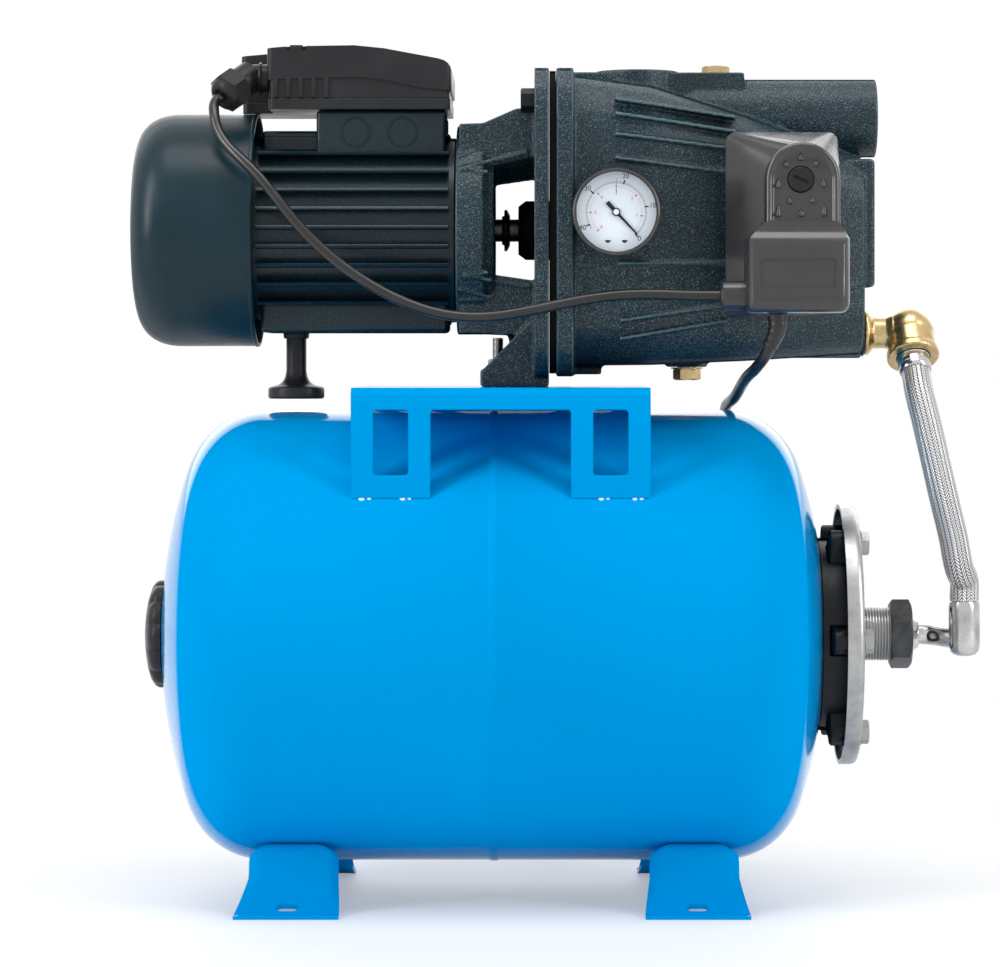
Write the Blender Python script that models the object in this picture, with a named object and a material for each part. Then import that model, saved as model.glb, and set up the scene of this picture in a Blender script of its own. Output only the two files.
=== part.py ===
"""Booster pump set: a jet pump with its motor on a horizontal pressure tank, joined by a braided hose.

Metres, +Z up. The floor is Z 0, +X runs from the motor's fan cover to the suction port, and the front is -Y.
"""

import math

import bmesh
import bpy
import numpy as np
from mathutils import Matrix, Vector

# Clearances between neighbouring pieces
GAP = 0.0003
RUNNING_GAP = 0.0010

# Pressure tank
TANK_RADIUS = 0.1400
TANK_LENGTH = 0.4134
TANK_WALL = 0.0016
TANK_CENTRE_X = -0.0252
TANK_GROUND_CLEARANCE = 0.0230
CROWN_RADIUS = 0.330
KNUCKLE_RADIUS = 0.050
SEAM_WIDTH = 0.0060
SEAM_HEIGHT = 0.0007
NECK_BORE_RADIUS = 0.0455
VALVE_HOLE_RADIUS = 0.0055
MEMBRANE_WALL = 0.0020
MEMBRANE_TO_TANK = 0.040

# Feet of the tank, pressed sheet
FOOT_INSET = 0.0835
FOOT_SHEET = 0.0025
FOOT_WIDTH = 0.0510
FOOT_TOE_WIDTH = 0.0580
FOOT_REACH = 0.1080
FOOT_TOE_LENGTH = 0.0080
FOOT_WRAP_DEGREES = 27.0
FOOT_LIP = 0.0040
FOOT_HOLE_RADIUS = 0.0032

# Pump cradle on the tank, folded sheet
CRADLE_CENTRE_X = -0.0200
CRADLE_LENGTH = 0.1790
CRADLE_HALF_DEPTH = 0.1090
CRADLE_RISE = 0.0145
CRADLE_SHEET = 0.0030
CRADLE_BAND = 0.0133
CRADLE_LEG_WIDTH = 0.0476
CRADLE_BEND_RADIUS = 0.0050
WINDOW_WIDTH = 0.0210
WINDOW_HEIGHT = 0.0390
WINDOW_CORNER = 0.0025

# Neck of the tank and its counter flange
NECK_RING_RADIUS = 0.0600
NECK_RING_REACH = 0.0130
FLANGE_RADIUS = 0.0810
FLANGE_SHEET = 0.0027
FLANGE_RIM_DEPTH = 0.0105
MEMBRANE_LIP = 0.0022
BOLT_COUNT = 6
BOLT_CIRCLE_RADIUS = 0.0670
BOLT_SHANK_RADIUS = 0.0040
BOLT_HEAD_FLATS = 0.0130
BOLT_HEAD_HEIGHT = 0.0055
NIPPLE_RADIUS = 0.0166
NIPPLE_BORE_RADIUS = 0.0125
NIPPLE_LENGTH = 0.0285

# Union nut and bent tail of the hose
UNION_NUT_FLATS = 0.0380
UNION_NUT_LENGTH = 0.0134
UNION_NUT_OFFSET = 0.0214
UNION_NUT_LIP = 0.0030
TAIL_RADIUS = 0.0065
SLEEVE_RADIUS = 0.00975
SLEEVE_REACH = 0.0668
SLEEVE_FORWARD = 0.0140
SLEEVE_DROP = 0.0127
SLEEVE_LENGTH = 0.0340

# Braided hose and brass elbow; the bow's points are (share of the way down, sideways, forward)
HOSE_RADIUS = 0.0090
HOSE_BOW = (
    (0.178, -0.0013, 0.0128),
    (0.305, -0.0012, 0.0163),
    (0.453, -0.0010, 0.0172),
    (0.609, -0.0004, 0.0157),
    (0.750, 0.0002, 0.0122),
    (0.870, 0.0007, 0.0071),
)
ELBOW_REACH = 0.0305
ELBOW_RADIUS = 0.0155
ELBOW_MOUTH = (0.08, -0.57, -0.82)
ELBOW_MOUTH_LENGTH = 0.0190
HOSE_NUT_RADIUS = 0.0102
HOSE_NUT_START = 0.0088
HOSE_NUT_END = 0.0300

# Air valve on the left end of the tank
VALVE_CAP_RADIUS = 0.0335
VALVE_CAP_DEPTH = 0.0112
VALVE_PIN_RADIUS = 0.0016

# Pump axis and flanges
PUMP_HEIGHT_OVER_CRADLE = 0.0975
SHAFT_RADIUS = 0.0070
FLANGE_PLATE_THICKNESS = 0.0088
FLANGE_HALF_DEPTH = 0.0850
FLANGE_TOP = 0.0975
FLANGE_BOTTOM = 0.0910
FLANGE_CORNER = 0.0250
SEAL_PLATE_THICKNESS = 0.0038
SEAL_PLATE_INSET = 0.0020
HOUSING_FLANGE_THICKNESS = 0.0106
SEAL_BOSS_RADIUS = 0.0184
SEAL_BOSS_LENGTH = 0.0193

# Pump housing
HOUSING_END_X = 0.2028
HOUSING_WALL = 0.0090
WET_BORE_RADIUS = 0.0700
SUCTION_BOSS_RADIUS = 0.0243
SUCTION_HEIGHT = 0.0700
SUCTION_FACE_X = 0.2126
PORT_RADIUS = 0.0150
DISCHARGE_X = 0.0640
DISCHARGE_BOSS_RADIUS = 0.0255
DISCHARGE_FACE_HEIGHT = 0.0990
OUTLET_DROP = 0.0640
OUTLET_BOSS_RADIUS = 0.0157
OUTLET_FACE_X = 0.2035
PLUG_X = 0.1130
PLUG_FLATS = 0.0170
DRAIN_X = 0.0950
DRAIN_DROP = 0.0852

# Lantern bracket between motor and pump
RING_START_X = -0.0483
RING_END_X = -0.0250
RING_RADIUS = 0.0650
ARM_HALF_DEPTH = 0.0340
FOOT_PLATE_THICKNESS = 0.0105
FOOT_PLATE_LENGTH = 0.0420
FOOT_PLATE_HALF_DEPTH = 0.0520
STUD_RADIUS = 0.0030
STUD_SPACING = 0.0640
STUD_X = -0.0230

# Impeller and ejector
IMPELLER_RADIUS = 0.0580
IMPELLER_EYE_RADIUS = 0.0170
BLADE_COUNT = 6
VENTURI_LENGTH = 0.0780
NOZZLE_LENGTH = 0.0650

# Motor
MOTOR_LEFT_X = -0.1760
MOTOR_RADIUS = 0.0640
MOTOR_CORE_RADIUS = 0.0560
MOTOR_BORE_RADIUS = 0.0500
FIN_PITCH = 0.0115
FIN_THICKNESS = 0.0026
FIN_ROWS = 5
PEDESTAL_START_X = -0.1340
PEDESTAL_END_X = -0.0550
PEDESTAL_HALF_DEPTH = 0.0420
PEDESTAL_HEIGHT = 0.0725
STATOR_LENGTH = 0.0700
AIR_GAP = 0.0010
ROTOR_RADIUS = 0.0290
BEARING_RADIUS = 0.0160
BEARING_WIDTH = 0.0110
FAN_RADIUS = 0.0620
FAN_BLADES = 7
COVER_LEFT_X = -0.2490
COVER_RIGHT_X = -0.1720
COVER_RADIUS = 0.0722
COVER_WALL = 0.0018
FLINGER_RADIUS = 0.0130
PILLAR_X = -0.1490
PILLAR_RADIUS = 0.00625
PILLAR_DISC_RADIUS = 0.0175
PILLAR_BOTTOM_OVER_TANK = 0.0070

# Terminal box
BOX_FRONT_X = (-0.1640, -0.0510)
BOX_REAR_X = -0.1830
BOX_HALF_DEPTH = 0.0480
BOX_BASE_HEIGHT = 0.0068
BOX_WALL = 0.0025
LID_HEIGHT = 0.0320
GLAND_FLATS = 0.0220
GLAND_DIRECTION = (-0.62, -0.60, -0.50)
GLAND_BASE = (-0.1765, -0.0300)
GLAND_HEIGHT = 0.0930
GLAND_LENGTH = 0.0255

# Gauge
GAUGE_X = 0.0491
GAUGE_HEIGHT = 0.0077
GAUGE_RADIUS = 0.0265
GAUGE_DEPTH = 0.0260
GAUGE_FRONT_Y = -0.1050
GAUGE_RIM = 0.0022
NEEDLE_DEGREES = -46.0

# Pressure switch
SWITCH_X = (0.1150, 0.1825)
SWITCH_BELOW_AXIS = 0.0560
SWITCH_ABOVE_AXIS = 0.0558
SWITCH_BACK_Y = -0.0795
SWITCH_FRONT_Y = -0.1200
SWITCH_PANEL_Y = -0.1250
SWITCH_LOWER_Y = -0.1320
SWITCH_LOWER_X = (0.1262, 0.1872)
SWITCH_LOWER_TOP = -0.0130
SWITCH_CUFF_Y = -0.1030
SWITCH_CUFF_DROP = 0.0425
SWITCH_CUFF_RADIUS = 0.0088
SWITCH_CUFF_REACH = 0.0035
SWITCH_WALL = 0.0025
SWITCH_BOSS_Y = -0.0677
ADJUSTER_INSET = 0.0245
ADJUSTER_HEIGHT = 0.0260
ADJUSTER_RADIUS = 0.0075

# Cords
LINK_RADIUS = 0.00325
MAINS_RADIUS = 0.0035
COIL_CENTRE = (0.0825, 0.2320)
COIL_MEAN_RADIUS = 0.0385

# Values worked out from the sizes above
TANK_AXIS_Z = TANK_GROUND_CLEARANCE + TANK_RADIUS
TANK_LEFT_X = TANK_CENTRE_X - TANK_LENGTH / 2
TANK_RIGHT_X = TANK_CENTRE_X + TANK_LENGTH / 2
CRADLE_TOP_Z = TANK_AXIS_Z + TANK_RADIUS + CRADLE_RISE
PUMP_Z = CRADLE_TOP_Z + PUMP_HEIGHT_OVER_CRADLE
LANTERN_FACE_X = FLANGE_PLATE_THICKNESS
SEAL_LEFT_X = LANTERN_FACE_X + GAP
SEAL_RIGHT_X = SEAL_LEFT_X + SEAL_PLATE_THICKNESS
HOUSING_LEFT_X = SEAL_RIGHT_X + GAP
OUTLET_Z = PUMP_Z - OUTLET_DROP
ELBOW_AXIS = Vector(ELBOW_MOUTH).normalized()
NECK_RING_FRONT_X = TANK_RIGHT_X + NECK_RING_REACH
FLANGE_BACK_X = NECK_RING_FRONT_X + GAP + MEMBRANE_LIP + GAP
FLANGE_FRONT_X = FLANGE_BACK_X + FLANGE_SHEET
FOOT_SPACING = TANK_LENGTH - 2 * FOOT_INSET
SLEEVE_BOTTOM = (FLANGE_FRONT_X + SLEEVE_REACH, -SLEEVE_FORWARD, TANK_AXIS_Z - SLEEVE_DROP)
ELBOW_CENTRE_X = OUTLET_FACE_X + ELBOW_REACH
SWITCH_Z = (PUMP_Z - SWITCH_BELOW_AXIS, PUMP_Z + SWITCH_ABOVE_AXIS)
ADJUSTER_X = SWITCH_X[1] - ADJUSTER_INSET
ADJUSTER_Z = PUMP_Z + ADJUSTER_HEIGHT
SWITCH_CUFF_Z = PUMP_Z - SWITCH_CUFF_DROP
UP = Vector((0, 0, 1))
ALONG = Vector((1, 0, 0))
FRONT = Vector((0, -1, 0))


def clear_scene():
    for obj in list(bpy.data.objects):
        bpy.data.objects.remove(obj, do_unlink=True)


def finish(name, colour, roughness, metallic=0.0, alpha=1.0):
    made = bpy.data.materials.get(name) or bpy.data.materials.new(name)
    made.use_nodes = True
    shader = made.node_tree.nodes["Principled BSDF"]
    shader.inputs["Base Color"].default_value = (*colour, 1.0)
    shader.inputs["Roughness"].default_value = roughness
    shader.inputs["Metallic"].default_value = metallic
    shader.inputs["Alpha"].default_value = alpha
    made.diffuse_color = (*colour, alpha)
    return made


def blue_paint():
    return finish("blue paint", (0.0, 0.315, 0.72), 0.25)


def cast_paint():
    return finish("hammered petrol paint", (0.018, 0.047, 0.063), 0.42)


def black_plastic():
    return finish("black plastic", (0.022, 0.023, 0.026), 0.38)


def rubber():
    return finish("black rubber", (0.016, 0.016, 0.017), 0.65)


def zinc():
    return finish("zinc plated steel", (0.52, 0.53, 0.54), 0.34, 1.0)


def brass():
    return finish("brass", (0.60, 0.42, 0.17), 0.28, 1.0)


def steel():
    return finish("bright steel", (0.60, 0.61, 0.62), 0.25, 1.0)


def copper():
    return finish("copper winding", (0.55, 0.22, 0.09), 0.4, 1.0)


def wet_plastic():
    return finish("moulded resin", (0.05, 0.05, 0.05), 0.5)


# Modelling helpers
def place(name, bm, material, location=(0, 0, 0), sharp_degrees=35):
    """Turns a bmesh, modelled round its own origin, into an object at a location."""
    bmesh.ops.recalc_face_normals(bm, faces=bm.faces)
    mesh = bpy.data.meshes.new(name)
    bm.to_mesh(mesh)
    bm.free()
    mesh.materials.append(material)
    mesh.shade_smooth()
    mesh.set_sharp_from_angle(angle=math.radians(sharp_degrees))
    obj = bpy.data.objects.new(name, mesh)
    bpy.context.scene.collection.objects.link(obj)
    obj.location = location
    return obj


def boolean(target, operation, bm, location=(0, 0, 0)):
    """Joins a shape to the target, or cuts it away, and keeps the shape as a hidden helper."""
    name = f"{target.name}_{operation.lower()}_{len(target.modifiers)}"
    tool = place(name, bm, target.data.materials[0], location)
    tool.hide_render = True
    tool.display_type = "WIRE"
    modifier = target.modifiers.new(name, "BOOLEAN")
    modifier.operation = operation
    modifier.object = tool
    modifier.solver = "EXACT"


def join(target, bm, location=(0, 0, 0)):
    boolean(target, "UNION", bm, location)


def cut(target, bm, location=(0, 0, 0)):
    boolean(target, "DIFFERENCE", bm, location)


def turned(profile, segments, direction=ALONG, ring=False):
    """A shape turned round a line through the origin; the profile is (distance along it, radius)."""
    bm = bmesh.new()
    verts = [bm.verts.new((along, 0, radius)) for along, radius in profile]
    edges = [bm.edges.new(pair) for pair in zip(verts, verts[1:])]
    if ring:
        edges.append(bm.edges.new((verts[-1], verts[0])))
    bmesh.ops.spin(
        bm, geom=verts + edges, cent=(0, 0, 0), axis=(1, 0, 0), angle=2 * math.pi, steps=segments, use_merge=True
    )
    bmesh.ops.remove_doubles(bm, verts=bm.verts, dist=1e-6)
    return aimed(bm, direction)


def aimed(bm, direction):
    """Turns a shape modelled along +X to another direction."""
    turn = ALONG.rotation_difference(Vector(direction)).to_matrix()
    bmesh.ops.rotate(bm, verts=bm.verts, cent=(0, 0, 0), matrix=turn)
    return bm


def rod(start, end, radius, segments, direction=ALONG):
    return turned([(start, 0), (start, radius), (end, radius), (end, 0)], segments, direction)


def tube(start, end, outer, inner, segments, direction=ALONG):
    profile = [(start, inner), (start, outer), (end, outer), (end, inner)]
    return turned(profile, segments, direction, ring=True)


def box(low, high, bevel=0.0):
    bm = bmesh.new()
    low, high = Vector(low), Vector(high)
    size = high - low
    bmesh.ops.create_cube(bm, size=1, matrix=Matrix.Translation((low + high) / 2) @ Matrix.Diagonal((*size, 1)))
    if bevel:
        bmesh.ops.bevel(bm, geom=bm.edges, offset=bevel, segments=2, profile=0.5, affect="EDGES", material=-1)
    return bm


def prism(outline, across, start, end):
    """An outline drawn in a plane and extruded across it, along X, Y or Z."""
    spots = {
        "X": lambda a, b, d: (d, a, b),
        "Y": lambda a, b, d: (a, d, b),
        "Z": lambda a, b, d: (a, b, d),
    }[across]
    bm = bmesh.new()
    face = bm.faces.new([bm.verts.new(spots(a, b, start)) for a, b in outline])
    moved = bmesh.ops.extrude_face_region(bm, geom=[face])["geom"]
    shift = Vector(spots(0, 0, end - start))
    bmesh.ops.translate(bm, verts=[v for v in moved if isinstance(v, bmesh.types.BMVert)], vec=shift)
    return bm


def lofted(sections, closed=False):
    """Bridges sections with equal numbers of points; closed joins the last to the first, as in a nut."""
    bm = bmesh.new()
    rims = [[bm.verts.new(point) for point in section] for section in sections]
    pairs = list(zip(rims, rims[1:]))
    if closed:
        pairs.append((rims[-1], rims[0]))
    for first, second in pairs:
        for i in range(len(first)):
            bm.faces.new((first[i - 1], first[i], second[i], second[i - 1]))
    if not closed:
        bm.faces.new(rims[0])
        bm.faces.new(rims[-1])
    return bm


def ring_of_points(along, size, sides=0, count=12):
    """One ring round the X axis: round, or a polygon whose size is half its width across flats."""
    points = []
    for step in range(count):
        angle = 2 * math.pi * step / count
        radius = size
        if sides:
            part = 2 * math.pi / sides
            radius = size / math.cos(angle % part - part / 2)
        points.append((along, radius * math.cos(angle), radius * math.sin(angle)))
    return points


def rings(steps, direction=ALONG, closed=False, count=12):
    """A turned piece with hexagon stretches; each step is (distance along, size, sides)."""
    return aimed(lofted([ring_of_points(*step, count=count) for step in steps], closed), direction)


def rounded(low, high, radius, steps=4):
    """Outline of a rectangle with round corners, from its low corner to its high corner."""
    points = []
    corners = ((high[0], high[1], 0), (low[0], high[1], 90), (low[0], low[1], 180), (high[0], low[1], 270))
    for corner_a, corner_b, start in corners:
        centre_a = corner_a - math.copysign(radius, corner_a - (low[0] + high[0]) / 2)
        centre_b = corner_b - math.copysign(radius, corner_b - (low[1] + high[1]) / 2)
        for step in range(steps + 1):
            angle = math.radians(start + 90 * step / steps)
            points.append((centre_a + radius * math.cos(angle), centre_b + radius * math.sin(angle)))
    return points


def smooth_route(points, spacing):
    """Points about a spacing apart on the natural cubic curve through a route's own points."""
    route = np.array(points, float)
    at = np.concatenate([[0], np.cumsum(np.linalg.norm(np.diff(route, axis=0), axis=1))])
    step = np.diff(at)
    count = len(route)
    matrix = np.eye(count)
    right = np.zeros((count, 3))
    for i in range(1, count - 1):
        matrix[i, i - 1 : i + 2] = (step[i - 1], 2 * (step[i - 1] + step[i]), step[i])
        right[i] = 6 * ((route[i + 1] - route[i]) / step[i] - (route[i] - route[i - 1]) / step[i - 1])
    bend = np.linalg.solve(matrix, right)
    found = []
    for where in np.linspace(0, at[-1], max(3, round(at[-1] / spacing) + 1)):
        i = min(int(np.searchsorted(at, where, side="right")) - 1, count - 2)
        before, after, width = where - at[i], at[i + 1] - where, step[i]
        found.append(
            (bend[i] * after**3 + bend[i + 1] * before**3) / (6 * width)
            + (route[i] / width - bend[i] * width / 6) * after
            + (route[i + 1] / width - bend[i + 1] * width / 6) * before
        )
    return found


def swept(points, radii, count=12):
    """A round bar along a route, with a radius at each point."""
    points = [Vector(p) for p in points]
    sections = []
    side = None
    for i, point in enumerate(points):
        ahead = points[min(i + 1, len(points) - 1)] - points[max(i - 1, 0)]
        if side is None:
            side = ahead.orthogonal()
        side = (side - ahead * (side.dot(ahead) / ahead.length_squared)).normalized()
        other = ahead.normalized().cross(side)
        ring = []
        for step in range(count):
            angle = 2 * math.pi * step / count
            ring.append(point + radii[i] * (side * math.cos(angle) + other * math.sin(angle)))
        sections.append(ring)
    return lofted(sections)


def cord(name, points, radius, material, resolution=2):
    """A plain tube along a route, as a curve with filled caps."""
    curve = bpy.data.curves.new(name, "CURVE")
    curve.dimensions = "3D"
    curve.bevel_depth = radius
    curve.bevel_resolution = resolution
    curve.use_fill_caps = True
    spline = curve.splines.new("POLY")
    spline.points.add(len(points) - 1)
    for spot, point in zip(spline.points, points):
        spot.co = (*point, 1.0)
    curve.materials.append(material)
    obj = bpy.data.objects.new(name, curve)
    bpy.context.scene.collection.objects.link(obj)
    return obj


def around(radius, degrees):
    """Y and Z offsets of a point on a circle round an X axis, with 0 degrees towards the front."""
    angle = math.radians(degrees)
    return -radius * math.cos(angle), radius * math.sin(angle)


# Tank
def dome(apex_x, side, shrink, start_radius, steps=4):
    """Outline (x, radius) of an end from its opening to the cylinder; side is +1 for the left end."""
    crown = CROWN_RADIUS - shrink
    knuckle = KNUCKLE_RADIUS - shrink
    knuckle_rise = TANK_RADIUS - shrink - knuckle
    apex = apex_x + side * shrink
    crown_x = apex + side * crown
    meet = math.asin(knuckle_rise / (crown - knuckle))
    knuckle_x = crown_x - side * (crown - knuckle) * math.cos(meet)
    start = math.asin(start_radius / crown)
    points = []
    for step in range(steps):
        angle = start + (meet - start) * step / (steps - 1)
        points.append((crown_x - side * crown * math.cos(angle), crown * math.sin(angle)))
    for step in range(1, steps + 1):
        angle = meet + (math.pi / 2 - meet) * step / steps
        points.append((knuckle_x - side * knuckle * math.cos(angle), knuckle_rise + knuckle * math.sin(angle)))
    return points


def crown_offset(radius):
    """How far the crown has curved back at a radius from the tank's axis."""
    return CROWN_RADIUS - math.sqrt(CROWN_RADIUS**2 - radius**2)


def tank_shell():
    outside = dome(TANK_LEFT_X, 1, 0, VALVE_HOLE_RADIUS)
    half = SEAM_WIDTH / 2
    outside += [
        (TANK_CENTRE_X - half, TANK_RADIUS),
        (TANK_CENTRE_X - half / 2, TANK_RADIUS + SEAM_HEIGHT),
        (TANK_CENTRE_X + half / 2, TANK_RADIUS + SEAM_HEIGHT),
        (TANK_CENTRE_X + half, TANK_RADIUS),
    ]
    outside += reversed(dome(TANK_RIGHT_X, -1, 0, NECK_BORE_RADIUS))
    inside = dome(TANK_RIGHT_X, -1, TANK_WALL, NECK_BORE_RADIUS, 3)
    inside += reversed(dome(TANK_LEFT_X, 1, TANK_WALL, VALVE_HOLE_RADIUS, 3))
    place("tank_shell", turned(outside + inside, 40, ring=True), blue_paint(), (0, 0, TANK_AXIS_Z))


def tank_membrane():
    wall = MEMBRANE_WALL
    bag = TANK_RADIUS - MEMBRANE_TO_TANK
    neck = NECK_BORE_RADIUS - 2 * RUNNING_GAP
    left = TANK_LEFT_X + MEMBRANE_TO_TANK
    right = TANK_RIGHT_X - MEMBRANE_TO_TANK / 2
    lip_back = NECK_RING_FRONT_X + GAP
    lip_front = lip_back + MEMBRANE_LIP
    lip_radius = BOLT_CIRCLE_RADIUS - BOLT_SHANK_RADIUS - 3 * RUNNING_GAP
    profile = [
        (left, 0),
        (left + 0.25 * bag, 0.75 * bag),
        (left + 0.6 * bag, bag),
        (right - 0.6 * bag, bag),
        (right - 0.2 * bag, 0.7 * bag),
        (right, neck),
        (lip_back, neck),
        (lip_back, lip_radius),
        (lip_front, lip_radius),
        (lip_front, neck - wall),
        (right, neck - wall),
        (right - 0.2 * bag - wall, 0.7 * bag - wall),
        (right - 0.6 * bag - wall, bag - wall),
        (left + 0.6 * bag, bag - wall),
        (left + 0.25 * bag + wall, 0.75 * bag - wall),
        (left + wall, 0),
    ]
    place("tank_membrane", turned(profile, 16), rubber(), (0, 0, TANK_AXIS_Z))


def bezier(start, control, end, steps):
    """Points of a quadratic curve, without its first point."""
    points = []
    for step in range(1, steps + 1):
        t = step / steps
        points.append(tuple((1 - t) ** 2 * a + 2 * t * (1 - t) * b + t * t * c for a, b, c in zip(start, control, end)))
    return points


def foot_stations():
    """(y, z) of the sheet's upper side from under the tank's middle out to the toe, on the +Y side."""
    hug = TANK_RADIUS + GAP
    wrap = math.radians(FOOT_WRAP_DEGREES)
    stations = []
    for step in range(4):
        angle = wrap * step / 3
        stations.append((hug * math.sin(angle), TANK_AXIS_Z - hug * math.cos(angle)))
    start = stations[-1]
    shoulder = (start[0] + 0.0115, start[1] - 0.0045)
    stations += bezier(start, (start[0] + 0.0105, start[1] + 0.0058), shoulder, 4)
    toe = (FOOT_REACH - FOOT_TOE_LENGTH, FOOT_SHEET)
    stations += bezier(shoulder, (shoulder[0] + 0.004, FOOT_SHEET + 0.006), toe, 4)
    stations.append((FOOT_REACH, FOOT_SHEET))
    return stations


def foot_section(stations, index):
    """Five points across the sheet at a station: lip, edge, middle, edge, lip."""
    y, z = stations[index]
    before = stations[max(index - 1, 0)]
    after = stations[min(index + 1, len(stations) - 1)]
    run, rise = after[0] - before[0], after[1] - before[1]
    if index == 0:
        run, rise = 1.0, 0.0
    size = math.hypot(run, rise)
    down_y, down_z = rise / size, -run / size
    low = 1 - min(1, max(0, (z - FOOT_SHEET) / (FOOT_SHEET * 8)))
    half = (FOOT_WIDTH + low * (FOOT_TOE_WIDTH - FOOT_WIDTH)) / 2
    drop = FOOT_LIP * (1 - low)
    lip_y, lip_z = y + down_y * drop, z + down_z * drop
    out = half + FOOT_LIP / 2
    return [(-out, lip_y, lip_z), (-half, y, z), (0, y, z), (half, y, z), (out, lip_y, lip_z)]


def tank_foot(name, centre_x):
    stations = foot_stations()
    rows = [foot_section(stations, index) for index in range(len(stations))]
    mirrored = [[(x, -y, z) for x, y, z in row] for row in rows[:0:-1]]
    bm = bmesh.new()
    grid = [[bm.verts.new(point) for point in row] for row in mirrored + rows]
    for first, second in zip(grid, grid[1:]):
        for i in range(len(first) - 1):
            bm.faces.new((first[i], first[i + 1], second[i + 1], second[i]))
    mesh = bpy.data.meshes.new(name)
    bm.to_mesh(mesh)
    bm.free()
    mesh.materials.append(blue_paint())
    foot = bpy.data.objects.new(name, mesh)
    bpy.context.scene.collection.objects.link(foot)
    foot.location = (centre_x, 0, 0)
    sheet = foot.modifiers.new("sheet", "SOLIDIFY")
    sheet.thickness = FOOT_SHEET
    sheet.offset = -1
    sheet.use_even_offset = True
    for side in (-1, 1):
        hole = rod(-0.001, TANK_GROUND_CLEARANCE, FOOT_HOLE_RADIUS, 10, UP)
        cut(foot, hole, (centre_x, side * (FOOT_REACH - FOOT_TOE_LENGTH - 0.0065), 0))


def cradle_outline():
    """The folded sheet seen along X: a top plate with a leg down each side."""
    half, top, sheet, bend = CRADLE_HALF_DEPTH, CRADLE_TOP_Z, CRADLE_SHEET, CRADLE_BEND_RADIUS
    bottom = TANK_AXIS_Z + math.sqrt((TANK_RADIUS + GAP) ** 2 - half**2) - RUNNING_GAP
    outline = [(half, bottom)]
    for step in range(4):
        angle = math.radians(90 * step / 3)
        outline.append((half - bend + bend * math.cos(angle), top - bend + bend * math.sin(angle)))
    outline += [(-y, z) for y, z in reversed(outline)]
    inner = bend - sheet
    outline.append((-half + sheet, bottom))
    for step in range(3):
        angle = math.radians(90 * step / 2)
        outline.append((-half + bend - inner * math.cos(angle), top - bend + inner * math.sin(angle)))
    outline += [(half - bend + inner * math.sin(a), top - bend + inner * math.cos(a)) for a in (0, math.pi / 4, math.pi / 2)]
    outline.append((half - sheet, bottom))
    return outline


def pump_cradle():
    left = CRADLE_CENTRE_X - CRADLE_LENGTH / 2
    right = CRADLE_CENTRE_X + CRADLE_LENGTH / 2
    cradle = place("pump_cradle", prism(cradle_outline(), "X", left, right), blue_paint())
    band_z = CRADLE_TOP_Z - CRADLE_BAND
    through = CRADLE_HALF_DEPTH + 0.01
    gap_outline = rounded((left + CRADLE_LEG_WIDTH, band_z - 0.1), (right - CRADLE_LEG_WIDTH, band_z), 0.002, 2)
    cut(cradle, prism(gap_outline, "Y", -through, through))
    for start in (left, right - CRADLE_LEG_WIDTH):
        middle = start + CRADLE_LEG_WIDTH / 2
        low = (middle - WINDOW_WIDTH / 2, band_z - WINDOW_HEIGHT)
        high = (middle + WINDOW_WIDTH / 2, band_z)
        cut(cradle, prism(rounded(low, high, WINDOW_CORNER, 3), "Y", -through, through))
    cut(cradle, rod(left - 0.01, right + 0.01, TANK_RADIUS + GAP, 80), (0, 0, TANK_AXIS_Z))
    for side in (-1, 1):
        hole = rod(-0.01, 0.01, STUD_RADIUS + 2 * GAP, 10, UP)
        cut(cradle, hole, (STUD_X, side * STUD_SPACING / 2, CRADLE_TOP_Z))


def neck_flange():
    """Ring welded to the right dome, with a lug for each bolt of the counter flange."""
    seat = 1.5 * GAP
    front = NECK_RING_FRONT_X
    lug_start = front - 1.25 * FLANGE_RIM_DEPTH
    lug_radius = BOLT_SHANK_RADIUS + 0.0045
    tangent = math.degrees(math.asin(lug_radius / BOLT_CIRCLE_RADIUS))
    reach = math.sqrt(BOLT_CIRCLE_RADIUS**2 - lug_radius**2)
    lobe = ((0, BOLT_CIRCLE_RADIUS + lug_radius), (0.55 * tangent, reach + 0.8 * lug_radius), (tangent, reach))
    angles = []
    for index in range(BOLT_COUNT):
        middle = 360 * index / BOLT_COUNT
        width = 360 / BOLT_COUNT
        angles += [(middle + turn, radius) for turn, radius in lobe]
        angles += [(middle + part * width, NECK_RING_RADIUS) for part in (0.3, 0.5, 0.7)]
        angles += [(middle + width - turn, radius) for turn, radius in lobe[:0:-1]]
    rear_outer = TANK_RIGHT_X - crown_offset(NECK_RING_RADIUS) + seat
    rear_inner = TANK_RIGHT_X - crown_offset(NECK_BORE_RADIUS) + seat
    sections = []
    for x, radius in (
        (rear_inner, NECK_BORE_RADIUS),
        (rear_outer, NECK_RING_RADIUS),
        (lug_start, NECK_RING_RADIUS),
        (lug_start + 0.0002, 0),
        (front, 0),
        (front, NECK_BORE_RADIUS),
    ):
        sections.append([(x, *around(radius or lobed, degrees)) for degrees, lobed in angles])
    material = finish("dark neck paint", (0.006, 0.011, 0.016), 0.4)
    flange = place("neck_flange", lofted(sections, closed=True), material, (0, 0, TANK_AXIS_Z))
    for index in range(BOLT_COUNT):
        y, z = around(BOLT_CIRCLE_RADIUS, 360 * index / BOLT_COUNT)
        hole = rod(lug_start - 0.005, front + 0.005, BOLT_SHANK_RADIUS + 2 * GAP, 8)
        cut(flange, hole, (0, y, TANK_AXIS_Z + z))


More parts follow.
